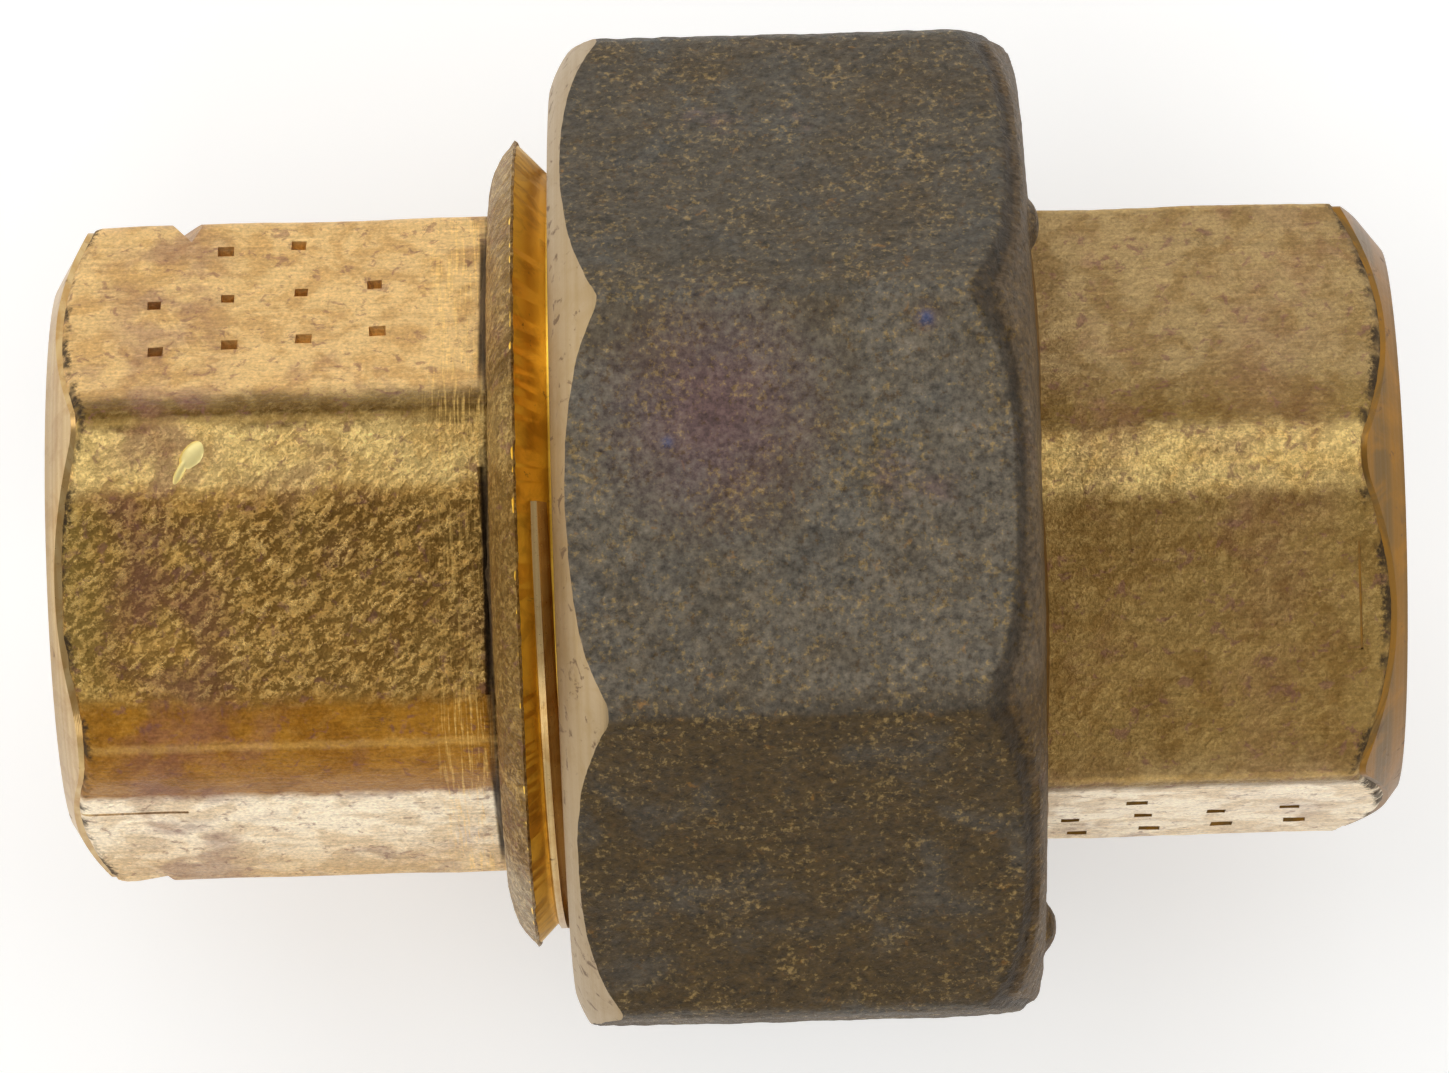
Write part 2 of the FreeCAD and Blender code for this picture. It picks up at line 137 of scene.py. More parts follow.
class UnionSizes(bpy.types.PropertyGroup):
    """Sizes that the three pieces share"""
    hex_flats: length("Wrench size", "Across the flats of both hexagons", 27.0)
    threaded_turn: angle("Left hexagon turn", "Where a flat of the left hexagon faces", -11.0)
    tail_turn: angle("Right hexagon turn", "Where a flat of the right hexagon faces", -23.0)
    threaded_hex: length("Left hexagon", "From its end face to the collar", 20.0)
    tail_hex: length("Right hexagon", "From its end face to the neck", 16.9)
    threaded_slope: angle("Left chamfer", "Between the left wrench chamfer and its end face", 30.0)
    tail_slope: angle("Right chamfer", "Between the right wrench chamfer and its end face", 38.0)
    wrench_inset: length("Chamfer inset", "How far inside the flats a wrench chamfer starts", 0.9)
    skin_step: length("Skin step", "Thickness of the forged skin where the chamfer was turned", 0.22)
    port_radius: length("Port", "Radius at the crests of the pipe thread", 9.13)
    port_depth: length("Port depth", "From the end face to the end of the port", 14.0)
    port_mouth: length("Port mouth", "Radius of the countersink at the mouth", 10.7)
    port_pitch: length("Pipe thread pitch", "14 turns to the inch", 1.814)
    passage_radius: length("Passage", "Radius of the waterway", 8.0)
    thread_pitch: length("Union thread pitch", "16 turns to the inch", 1.5875)
    thread_root: length("Thread root", "Radius of the collar at the thread's root", 17.148)
    thread_top: length("Thread top", "Radius of the collar at the thread's crest", 17.9985)
    thread_crest: length("Thread crest", "Width of the flat crest", 0.3)
    thread_valley: length("Thread valley", "Width of the flat root", 0.3)
    thread_gap: length("Thread clearance", "Between collar thread and nut thread", 0.1)
    rim_radius: length("Collar rim", "Radius of the rim of the collar", 18.8)
    collar_cone: length("Collar cone", "From the left hexagon to the rim of the collar", 1.4)
    thread_start: length("Thread start", "From the left hexagon to the first crest", 2.3)
    relief: angle("Thread relief", "Between the cone behind the rim and a flat face", 42.0)
    start_turn: angle("Thread start turn", "Where the first crest starts, about the axis", 2.0)
    nut_flats: length("Nut size", "Across the flats of the nut", 44.997)
    nut_corner: length("Nut corner", "Rounding of the long edges of the nut", 1.8)
    nut_face: length("Nut face", "Radius of the cast right face of the nut", 20.5985)
    nut_front: length("Nut front", "Radius of the turned left face of the nut", 21.2)
    lip_bore: length("Lip bore", "Radius of the hole in the lip of the nut", 15.848)
    skin_voxel: length("Skin mesh", "Size of the mesh of the forged skins", 0.25)
    cast_voxel: length("Cast mesh", "Size of the mesh of the cast skin", 0.262)


class UnionFinish(bpy.types.PropertyGroup):
    """Colours of the metals"""
    gold: colour("Gold", "Bare forged brass", 0.95, 0.62, 0.19)
    honey: colour("Honey", "Forged brass under a thin patina", 0.62, 0.37, 0.10)
    tan: colour("Tan", "Satin brass worn pale", 0.72, 0.47, 0.19)
    khaki: colour("Khaki", "Satin brass gone brown", 0.34, 0.23, 0.10)
    olive: colour("Olive", "Brown patina on brass", 0.23, 0.14, 0.04)
    # Painted highlight: the bright band beside a corner of each hexagon and the tops of the crinkles are laid
    # in this colour.
    glow: colour("Glow", "Brightest bare forged brass", 1.0, 0.71, 0.27)
    patina: colour("Patina", "What a thin patina takes away from the colour", 0.62, 0.50, 0.34)
    # Dark oxide in the wrinkles, pits and scratches; on the left hexagon it is also a painted shade band
    # along the corner above the highlight.
    soot: colour("Soot", "Dark oxide down in the wrinkles", 0.10, 0.05, 0.010)
    orange: colour("Orange", "Warm brass between the flats", 0.36, 0.16, 0.018)
    # Pale worn brass, and a painted reflection of the table on the lower flats of both hexagons.
    cream: colour("Cream", "Palest worn brass", 0.97, 0.82, 0.60)
    fresh: colour("Fresh", "Brass where a chip has just come off", 1.0, 0.86, 0.40)
    green: colour("Green", "Greenish patina near the end face", 0.38, 0.30, 0.08)
    stain: colour("Stain", "Brown spots on turned faces", 0.13, 0.07, 0.035)
    heat_blue: colour("Heat blue", "Blue heat tint of the casting skin", 0.05, 0.085, 0.20)
    umber: colour("Umber", "Forged brass under a thicker patina", 0.33, 0.205, 0.065)
    tarnish: colour("Tarnish", "Purple heat tint", 0.22, 0.09, 0.07)
    # Painted shade: darkens the crease at the collar and the step beside the chamfer.
    dirt: colour("Dirt", "Dirt in the crease at the collar and beside the chamfer", 0.035, 0.018, 0.005)
    # Painted shadow in the step before the nut's rounded shoulder.
    crevice: colour("Crevice", "Dirt in the step before the nut's shoulder", 0.012, 0.009, 0.006)
    turned: colour("Turned", "Turned brass gone dull", 0.60, 0.42, 0.19)
    turned_dark: colour("Dark turned", "Turned brass gone brown", 0.17, 0.10, 0.035)
    bored: colour("Bored", "Freshly cut brass out of the weather", 1.0, 0.64, 0.08)
    bronze: colour("Bronze", "Casting skin of the nut", 0.15, 0.125, 0.09)
    # Painted shade: the nut's upper flats are laid in this darker bronze.
    bronze_dark: colour("Dark bronze", "Darker casting skin", 0.085, 0.068, 0.045)
    bronze_brown: colour("Brown bronze", "Warmer casting skin", 0.070, 0.041, 0.010)
    bronze_blue: colour("Blue bronze", "Cool sheen of the casting skin", 0.10, 0.105, 0.10)
    bronze_purple: colour("Purple bronze", "Heat tint of the casting skin", 0.16, 0.085, 0.085)
    # Laid on the nut's specks: partly bare metal, partly painted glints.
    bronze_gold: colour("Gold bronze", "Bare metal through the casting skin", 0.34, 0.23, 0.09)
    nut_chamfer: colour("Nut chamfer", "Turned face of the nut", 0.42, 0.31, 0.18)


class StudioSettings(bpy.types.PropertyGroup):
    """Camera and lights"""
    distance: length("Camera distance", "From the middle of the union", 402.0)
    lens: number("Lens", "Focal length in millimetres", 213.7)
    tilt: angle("Camera tilt", "How far the camera leans forward from straight overhead", 4.1)
    yaw: angle("Camera yaw", "How far the camera stands towards the threaded end", -0.4)
    slide: length("Camera slide", "How far the camera is moved towards the threaded end", 0.14)
    rise: length("Camera rise", "How far the camera is moved towards the top of its view", 0.07)
    roll: angle("Camera roll", "How far the pipe axis rises to the right", 1.7)
    floor_size: length("Floor", "Side of the floor", 4000.0)
    floor_colour: colour("Floor colour", "Plain pale table", 0.93, 0.93, 0.92)
    floor_glow: number("Floor glow", "Light that comes up through the pale table", 0.25)


# ---------------------------------------------------------------- modelling by hand, step by step

def select_none():
    if bpy.context.mode != "OBJECT":
        bpy.ops.object.mode_set(mode="OBJECT")
    bpy.ops.object.select_all(action="DESELECT")


def select_only(piece):
    select_none()
    piece.select_set(True)
    bpy.context.view_layer.objects.active = piece


def apply_place(piece):
    select_only(piece)
    bpy.ops.object.transform_apply(location=True, rotation=True, scale=True)


def edit_all(piece):
    select_only(piece)
    bpy.ops.object.mode_set(mode="EDIT")
    bpy.ops.mesh.select_mode(type="VERT")
    bpy.ops.mesh.select_all(action="SELECT")


def close_up(piece):
    """Merges doubled points and turns every face outwards."""
    edit_all(piece)
    bpy.ops.mesh.remove_doubles(threshold=1e-7)
    bpy.ops.mesh.normals_make_consistent(inside=False)
    bpy.ops.object.mode_set(mode="OBJECT")


def select_edges(piece, wanted):
    """Goes into edit mode with only the edges selected whose two ends pass the test."""
    select_only(piece)
    bpy.ops.object.mode_set(mode="EDIT")
    bpy.ops.mesh.select_mode(type="EDGE")
    bpy.ops.mesh.select_all(action="DESELECT")
    bpy.ops.object.mode_set(mode="OBJECT")
    points = piece.data.vertices
    for edge in piece.data.edges:
        edge.select = wanted(points[edge.vertices[0]].co, points[edge.vertices[1]].co)
    bpy.ops.object.mode_set(mode="EDIT")


def apply_modifier(piece, kind, **settings):
    select_only(piece)
    modifier = piece.modifiers.new(kind.lower(), kind)
    for name, value in settings.items():
        setattr(modifier, name, value)
    bpy.ops.object.modifier_apply(modifier=modifier.name)


def set_finish(piece, materials, index):
    """Gives a blank or a tool the piece's material slots, and all its faces one of them."""
    piece.data.materials.clear()
    for material in materials:
        piece.data.materials.append(material)
    for face in piece.data.polygons:
        face.material_index = index


def combine(piece, tool, operation):
    """Joins, cuts or keeps the common part of two closed shapes, and uses the second one up."""
    apply_modifier(piece, "BOOLEAN", operation=operation, solver="MANIFOLD", object=tool)
    bpy.data.objects.remove(tool)


def angle_of(point):
    return math.atan2(point.y, point.z)


def wrapped(value):
    """An angle brought between minus and plus half a turn."""
    return (value + math.pi) % FULL_TURN - math.pi


def prism(name, sides, flats, left, right, turn, corners, materials, index=SKIN):
    """A bar with flat sides along the pipe axis, with one rounding radius for each long edge."""
    select_none()
    bpy.ops.mesh.primitive_cylinder_add(vertices=sides, radius=flats / 2 / math.cos(math.pi / sides),
                                        depth=right - left, location=((left + right) / 2, 0, 0),
                                        rotation=(0, math.pi / 2, 0))
    piece = bpy.context.object
    piece.name = name
    apply_place(piece)
    piece.rotation_euler.x = math.pi / 2 + math.pi / sides - turn
    apply_place(piece)
    step = FULL_TURN / sides
    corner_radius = flats / 2 / math.cos(math.pi / sides)
    for count, radius in enumerate(corners):
        if radius <= 0:
            continue
        place = turn + step * (count + 0.5)

        def is_corner(first, second):
            along = abs(first.x - second.x) > (right - left) / 2
            outside = math.hypot(first.y, first.z) > corner_radius * 0.9995
            return along and outside and abs(wrapped(angle_of(first) - place)) < step / 4

        select_edges(piece, is_corner)
        bpy.ops.mesh.bevel(offset=radius * math.tan(math.pi / sides), segments=8, affect="EDGES")
        bpy.ops.object.mode_set(mode="OBJECT")
    set_finish(piece, materials, index)
    return piece


def chain(name, outline):
    """A wire through the points (along, radius) in the upright plane, drawn point by point."""
    select_none()
    bpy.ops.mesh.primitive_plane_add(size=MM)
    piece = bpy.context.object
    piece.name = name
    edit_all(piece)
    bpy.ops.mesh.merge(type="CENTER")
    along, radius = outline[0]
    bpy.ops.transform.translate(value=(along, 0, radius))
    for next_along, next_radius in outline[1:]:
        step = (next_along - along, 0, next_radius - radius)
        bpy.ops.mesh.extrude_region_move(TRANSFORM_OT_translate={"value": step})
        along, radius = next_along, next_radius
    return piece


def turned(name, outline, materials, index=TURNED, steps=240):
    """A shape turned on the lathe. The outline is a closed ring, or starts and ends on the axis."""
    closed = min(outline[0][1], outline[-1][1]) > 0
    piece = chain(name, outline + outline[:1] if closed else outline)
    bpy.ops.mesh.select_all(action="SELECT")
    bpy.ops.mesh.spin(steps=steps, angle=FULL_TURN, center=(0, 0, 0), axis=(1, 0, 0))
    close_up(piece)
    set_finish(piece, materials, index)
    return piece


def coil(name, section, start, turns, pitch, materials, index=TURNED, steps=144):
    """A right-handed thread ridge: a closed section carried along a helix from the start angle."""
    piece = chain(name, section + section[:1])
    close_up(piece)
    piece.rotation_euler.x = -start
    apply_place(piece)
    apply_modifier(piece, "SCREW", axis="X", angle=FULL_TURN * turns, screw_offset=pitch * turns,
                   steps=int(steps * turns), render_steps=int(steps * turns), use_merge_vertices=False)
    edit_all(piece)
    bpy.ops.mesh.fill_holes(sides=0)
    close_up(piece)
    set_finish(piece, materials, index)
    return piece


def arc(start, end, radius, bulge, count):
    """Points between two points of an outline, on an arc that bulges outwards (+1) or inwards (-1)."""
    first = Vector(start)
    last = Vector(end)
    chord = last - first
    square = Vector((-chord.y, chord.x)).normalized()
    if square.y * bulge < 0:
        square.negate()
    rise = math.sqrt(radius * radius - chord.length_squared / 4)
    centre = (first + last) / 2 - square * rise
    from_angle = math.atan2(first.y - centre.y, first.x - centre.x)
    sweep = wrapped(math.atan2(last.y - centre.y, last.x - centre.x) - from_angle)
    points = []
    for step in range(1, count):
        turn = from_angle + sweep * step / count
        points.append((centre.x + radius * math.cos(turn), centre.y + radius * math.sin(turn)))
    return points


def remesh(piece, voxel):
    apply_modifier(piece, "REMESH", mode="VOXEL", voxel_size=voxel, use_smooth_shade=True)


def paint_group(piece, name, weight):
    """A vertex group whose weight comes from each point's place."""
    group = piece.vertex_groups.new(name=name)
    for point in piece.data.vertices:
        group.add([point.index], weight(point.co), "REPLACE")
    return group.name


def roughen(piece, kind, scale, height, group="", **settings):
    """Pushes the skin in and out along its normals by a procedural texture."""
    texture = bpy.data.textures.new(piece.name + "_" + kind.lower(), kind)
    texture.noise_scale = scale
    for name, value in settings.items():
        setattr(texture, name, value)
    apply_modifier(piece, "DISPLACE", texture=texture, texture_coords="LOCAL", direction="NORMAL",
                   strength=height, mid_level=0.5, vertex_group=group)


def smooth_step(value, low, high):
    share = min(max((value - low) / (high - low), 0.0), 1.0)
    return share * share * (3 - 2 * share)


def finish_piece(piece, name, body, slot):
    """Last touches: loose crumbs off, shading, tidy slots, and the piece's place in the frame."""
    edit_all(piece)
    bpy.ops.mesh.separate(type="LOOSE")
    bpy.ops.object.mode_set(mode="OBJECT")
    crumbs = sorted(bpy.context.selected_objects, key=lambda part: len(part.data.vertices))
    piece = crumbs.pop()
    for crumb in crumbs:
        bpy.data.objects.remove(crumb)
    piece.name = name
    piece.data.name = name
    piece.vertex_groups.clear()
    select_only(piece)
    bpy.ops.object.material_slot_remove_unused()
    bpy.ops.object.shade_smooth_by_angle(angle=SMOOTH_ANGLE)
    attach(piece, body)
    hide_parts(slot)
    return piece


# ---------------------------------------------------------------- shader graph helper

class Graph:
    """Adds nodes to one tree and joins them."""

    def __init__(self, tree):
        self.tree = tree

    def feed(self, socket, value):
        if isinstance(value, bpy.types.NodeSocket):
            self.tree.links.new(value, socket)
        elif socket.type == "RGBA":
            socket.default_value = (*value, 1.0)
        else:
            socket.default_value = value

    def add(self, kind, inputs=None, **settings):
        node = self.tree.nodes.new(kind)
        for name, value in settings.items():
            setattr(node, name, value)
        for name, value in (inputs or {}).items():
            self.feed(node.inputs[name], value)
        return node

    def math(self, operation, *values):
        node = self.add("ShaderNodeMath", operation=operation)
        for socket, value in zip(node.inputs, values):
            self.feed(socket, value)
        return node.outputs[0]

    def mix(self, factor, first, second, blend="MIX"):
        """The first colour at factor 0, and the second one, or its blend with the first, at 1."""
        node = self.add("ShaderNodeMix", data_type="RGBA", blend_type=blend, clamp_factor=True)
        for index, value in ((0, factor), (6, first), (7, second)):
            self.feed(node.inputs[index], value)
        return node.outputs[2]

    def lay(self, base, shade, mask, share):
        """The base with a colour laid over it, by a share, where the mask is white."""
        return self.mix(self.math("MULTIPLY", mask, share), base, shade)

    def darken(self, base, value):
        """The base multiplied by one value in all three channels."""
        grey = self.add("ShaderNodeCombineColor", {"Red": value, "Green": value, "Blue": value})
        return self.mix(1.0, base, grey.outputs[0], "MULTIPLY")

    def level(self, factor, first, second):
        """A number between the first and the second."""
        node = self.add("ShaderNodeMix", data_type="FLOAT", clamp_factor=True)
        for index, value in ((0, factor), (2, first), (3, second)):
            self.feed(node.inputs[index], value)
        return node.outputs[0]

    def step(self, value, low, high, first=0.0, last=1.0):
        """A soft step from first to last while the value goes from low to high."""
        node = self.add("ShaderNodeMapRange", {"Value": value, "From Min": low, "From Max": high,
                                               "To Min": first, "To Max": last},
                        interpolation_type="SMOOTHSTEP")
        return node.outputs[0]

    def stretch(self, vector, along, across, up):
        node = self.add("ShaderNodeVectorMath", operation="MULTIPLY")
        self.feed(node.inputs[0], vector)
        node.inputs[1].default_value = (along, across, up)
        return node.outputs[0]

    def noise(self, vector, scale, detail=4.0, roughness=0.5, distortion=0.0):
        node = self.add("ShaderNodeTexNoise", {"Vector": vector, "Scale": scale, "Detail": detail,
                                               "Roughness": roughness, "Distortion": distortion})
        return node.outputs["Fac"]

    def ramp(self, value, stops):
        """A colour or a grey for each value from 0 to 1."""
        node = self.add("ShaderNodeValToRGB", {"Fac": value})
        node.color_ramp.interpolation = "EASE"
        elements = node.color_ramp.elements
        while len(elements) < len(stops):
            elements.new(0.5)
        for element, (place, shade) in zip(elements, stops):
            element.position = place
            element.color = (shade, shade, shade, 1.0) if isinstance(shade, float) else (*shade, 1.0)
        return node.outputs["Color"]

    def use(self, group, **inputs):
        """The outputs of a shared node group."""
        node = self.add("ShaderNodeGroup", node_tree=group)
        for name, value in inputs.items():
            self.feed(node.inputs[name], value)
        return node.outputs


def new_group(name, inputs, outputs):
    """An empty node group with its sockets: returns its graph, its inputs and its output node."""
    tree = bpy.data.node_groups.new(name, "ShaderNodeTree")
    for socket_name, kind, default in inputs:
        socket = tree.interface.new_socket(socket_name, in_out="INPUT", socket_type="NodeSocket" + kind)
        if default is not None:
            socket.default_value = default
    for socket_name, kind in outputs:
        tree.interface.new_socket(socket_name, in_out="OUTPUT", socket_type="NodeSocket" + kind)
    graph = Graph(tree)
    return graph, graph.add("NodeGroupInput").outputs, graph.add("NodeGroupOutput").inputs


def pipe_coordinates():
    """Where a point of the metal is, in millimetres and degrees about the pipe axis."""
    graph, _, results = new_group("pipe_coordinates", [], [
        ("Point", "Vector"), ("Along", "Float"), ("Radius", "Float"), ("Angle", "Float")])
    place = graph.add("ShaderNodeTexCoord").outputs["Object"]
    point = graph.stretch(place, 1 / MM, 1 / MM, 1 / MM)
    parts = graph.add("ShaderNodeSeparateXYZ", {"Vector": point}).outputs
    squares = graph.math("ADD", graph.math("MULTIPLY", parts["Y"], parts["Y"]),
                         graph.math("MULTIPLY", parts["Z"], parts["Z"]))
    turn = graph.math("DEGREES", graph.math("ARCTAN2", parts["Y"], parts["Z"]))
    graph.feed(results["Point"], point)
    graph.feed(results["Along"], parts["X"])
    graph.feed(results["Radius"], graph.math("SQRT", squares))
    graph.feed(results["Angle"], turn)
    return graph.tree


def flat_faces():
    """Which flat of a hexagon or octagon a point belongs to, and how near it is to a corner."""
    graph, given, results = new_group("flat_faces", [
        ("Radius", "Float", 1.0), ("Angle", "Float", 0.0), ("Sides", "Float", 6.0), ("Turn", "Float", 0.0)], [
        ("Height", "Float"), ("Across", "Float"), ("Corner", "Float")])
    width = graph.math("DIVIDE", 360.0, given["Sides"])
    half = graph.math("DIVIDE", width, 2.0)
    away = graph.math("SUBTRACT", given["Angle"], given["Turn"])
    folded = graph.math("WRAP", away, half, graph.math("MULTIPLY", half, -1.0))
    bend = graph.math("RADIANS", folded)
    height = graph.math("MULTIPLY", given["Radius"], graph.math("COSINE", bend))
    across = graph.math("MULTIPLY", given["Radius"], graph.math("SINE", bend))
    reach = graph.math("MULTIPLY", height, graph.math("TANGENT", graph.math("RADIANS", half)))
    graph.feed(results["Height"], height)
    graph.feed(results["Across"], across)
    graph.feed(results["Corner"], graph.math("SUBTRACT", reach, graph.math("ABSOLUTE", across)))
    return graph.tree


def mottling():
    """Soft blotches of patina with a ragged edge."""
    graph, given, results = new_group("mottling", [
        ("Vector", "Vector", None), ("Size", "Float", 3.0), ("Cover", "Float", 0.5),
        ("Softness", "Float", 0.1)], [("Mask", "Float")])
    broad = graph.noise(given["Vector"], graph.math("DIVIDE", 1.0, given["Size"]), 7.0, 0.62, 0.6)
    edge = graph.math("SUBTRACT", 1.0, given["Cover"])
    low = graph.math("SUBTRACT", edge, given["Softness"])
    high = graph.math("ADD", edge, given["Softness"])
    graph.feed(results["Mask"], graph.step(graph.math("MULTIPLY_ADD", broad, 2.0, -0.5), low, high))
    return graph.tree


def scratches():
    """Long thin scratches that lean by an angle from the pipe axis."""
    graph, given, results = new_group("scratches", [
        ("Vector", "Vector", None), ("Lean", "Float", 0.0), ("Width", "Float", 0.08),
        ("Count", "Float", 0.5)], [("Mask", "Float")])
    turned_vector = graph.add("ShaderNodeVectorRotate", {"Vector": given["Vector"], "Angle": given["Lean"],
                                                         "Axis": (0.3, 0.25, 0.92)},
                              rotation_type="AXIS_ANGLE").outputs[0]
    long_vector = graph.stretch(turned_vector, 0.11, 1.0, 1.0)
    fine = graph.noise(long_vector, graph.math("DIVIDE", 0.35, given["Width"]), 2.0, 0.5)
    broken = graph.noise(turned_vector, 0.45, 2.0, 0.5)
    line = graph.step(graph.math("ABSOLUTE", graph.math("SUBTRACT", fine, 0.5)), 0.022, 0.0)
    gate = graph.step(broken, graph.math("SUBTRACT", 0.75, graph.math("MULTIPLY", given["Count"], 0.3)), 0.8)
    graph.feed(results["Mask"], graph.math("MULTIPLY", line, gate))
    return graph.tree


def turning_marks():
    """Fine rings left by the lathe tool, the same all the way round."""
    graph, given, results = new_group("turning_marks", [
        ("Along", "Float", 0.0), ("Radius", "Float", 0.0), ("Feed", "Float", 0.1)], [
        ("Height", "Float"), ("Shade", "Float")])
    travel = graph.math("ADD", given["Along"], graph.math("MULTIPLY", given["Radius"], 1.3))
    pace = graph.math("DIVIDE", travel, given["Feed"])
    fine = graph.add("ShaderNodeTexNoise", {"W": pace, "Scale": 1.0, "Detail": 2.0},
                     noise_dimensions="1D").outputs["Fac"]
    coarse = graph.add("ShaderNodeTexNoise", {"W": pace, "Scale": 0.17, "Detail": 3.0},
                       noise_dimensions="1D").outputs["Fac"]
    graph.feed(results["Height"], graph.math("ADD", fine, coarse))
    graph.feed(results["Shade"], graph.step(coarse, 0.3, 0.7))
    return graph.tree


def sand_grain():
    """The grain of a casting: fine bumps, pits, and specks where the skin has rubbed off to bare metal, which
    also serve as painted glints.
    """
    graph, given, results = new_group("sand_grain", [
        ("Vector", "Vector", None), ("Size", "Float", 0.3)], [
        ("Height", "Float"), ("Pits", "Float"), ("Glints", "Float"), ("Dust", "Float")])
    pace = graph.math("DIVIDE", 1.0, given["Size"])
    bumps = graph.noise(given["Vector"], pace, 6.0, 0.72)
    pits = graph.step(bumps, 0.44, 0.34)
    patches = graph.noise(given["Vector"], graph.math("MULTIPLY", pace, 0.16), 3.0, 0.6)
    sparkle = graph.noise(given["Vector"], graph.math("MULTIPLY", pace, 1.5), 4.0, 0.7)
    worn = graph.math("ADD", sparkle, graph.math("MULTIPLY", patches, 0.3))
    graph.feed(results["Height"], bumps)
    graph.feed(results["Pits"], pits)
    graph.feed(results["Glints"], graph.step(worn, 0.69, 0.82))
    graph.feed(results["Dust"], graph.noise(given["Vector"], graph.math("MULTIPLY", pace, 1.2), 4.0, 0.7))
    return graph.tree


def edge_rub():
    """Where the corners have been rubbed to bare metal; on the nut this mask also carries a painted sheen."""
    graph, given, results = new_group("edge_rub", [
        ("Vector", "Vector", None), ("Corner", "Float", 1.0), ("Width", "Float", 0.8)], [("Mask", "Float")])
    ragged = graph.noise(given["Vector"], 1.6, 5.0, 0.65)
    near = graph.math("DIVIDE", given["Corner"], given["Width"])
    graph.feed(results["Mask"], graph.step(graph.math("ADD", near, ragged), 1.15, 0.55))
    return graph.tree


def crinkles():
    """The fine foil-like wrinkles of a hot forging: their height, and the tops of the folds, where a painted
    highlight is laid.
    """
    graph, given, results = new_group("crinkles", [
        ("Vector", "Vector", None), ("Size", "Float", 0.5)], [("Height", "Float"), ("Tops", "Float")])
    pace = graph.math("DIVIDE", 1.0, given["Size"])
    leaning = graph.add("ShaderNodeVectorRotate", {"Vector": given["Vector"], "Angle": -0.7},
                        rotation_type="Z_AXIS").outputs[0]
    folds = graph.noise(graph.stretch(leaning, 0.6, 1.2, 1.2), pace, 2.0, 0.5, 0.1)
    foil = graph.noise(given["Vector"], graph.math("MULTIPLY", pace, 2.6), 4.0, 0.7)
    wrinkles = graph.math("ADD", graph.math("MULTIPLY", folds, 0.5), graph.math("MULTIPLY", foil, 0.5))
    graph.feed(results["Height"], wrinkles)
    graph.feed(results["Tops"], graph.step(wrinkles, 0.47, 0.57))
    return graph.tree


def shared_group(maker):
    """The shared node group of a maker, built the first time it is asked for."""
    return bpy.data.node_groups.get(maker.__name__) or maker()


# ---------------------------------------------------------------- materials

class Metal:
    """One material: its graph, the pipe coordinates, and the Principled shader at its end."""

    def __init__(self, name):
        self.material = bpy.data.materials.new(name)
        self.material.use_nodes = True
        self.material.node_tree.nodes.clear()
        self.graph = Graph(self.material.node_tree)
        where = self.graph.use(shared_group(pipe_coordinates))
        self.point = where["Point"]
        self.along = where["Along"]
        self.radius = where["Radius"]
        self.angle = where["Angle"]

    def mask(self, maker, **inputs):
        if "Vector" in shared_group(maker).interface.items_tree:
            inputs.setdefault("Vector", self.point)
        return self.graph.use(shared_group(maker), **inputs)

    def round_the_axis(self, stops, wobble=9.0):
        """A colour for each angle about the axis; stops are (degrees, colour) from -180 to 180."""
        graph = self.graph
        shaken = graph.math("MULTIPLY_ADD", graph.noise(self.point, 0.5, 4.0, 0.6), wobble * 2, -wobble)
        place = graph.math("DIVIDE", graph.math("ADD", graph.math("ADD", self.angle, shaken), 180.0), 360.0)
        return graph.ramp(place, [((degrees + 180.0) / 360.0, shade) for degrees, shade in stops])

    def finish(self, base, roughness, metallic, height, **fixed):
        """Joins the results to the shader. The height is in millimetres."""
        graph = self.graph
        bump = graph.add("ShaderNodeBump", {"Height": height, "Distance": MM, "Strength": 1.0})
        shader = graph.add("ShaderNodeBsdfPrincipled", {"Base Color": base, "Roughness": roughness,
                                                        "Metallic": metallic, "Normal": bump.outputs[0]})
        for name, value in fixed.items():
            shader.inputs[name].default_value = value
        output = graph.add("ShaderNodeOutputMaterial")
        graph.tree.links.new(shader.outputs[0], output.inputs["Surface"])
        return self.material


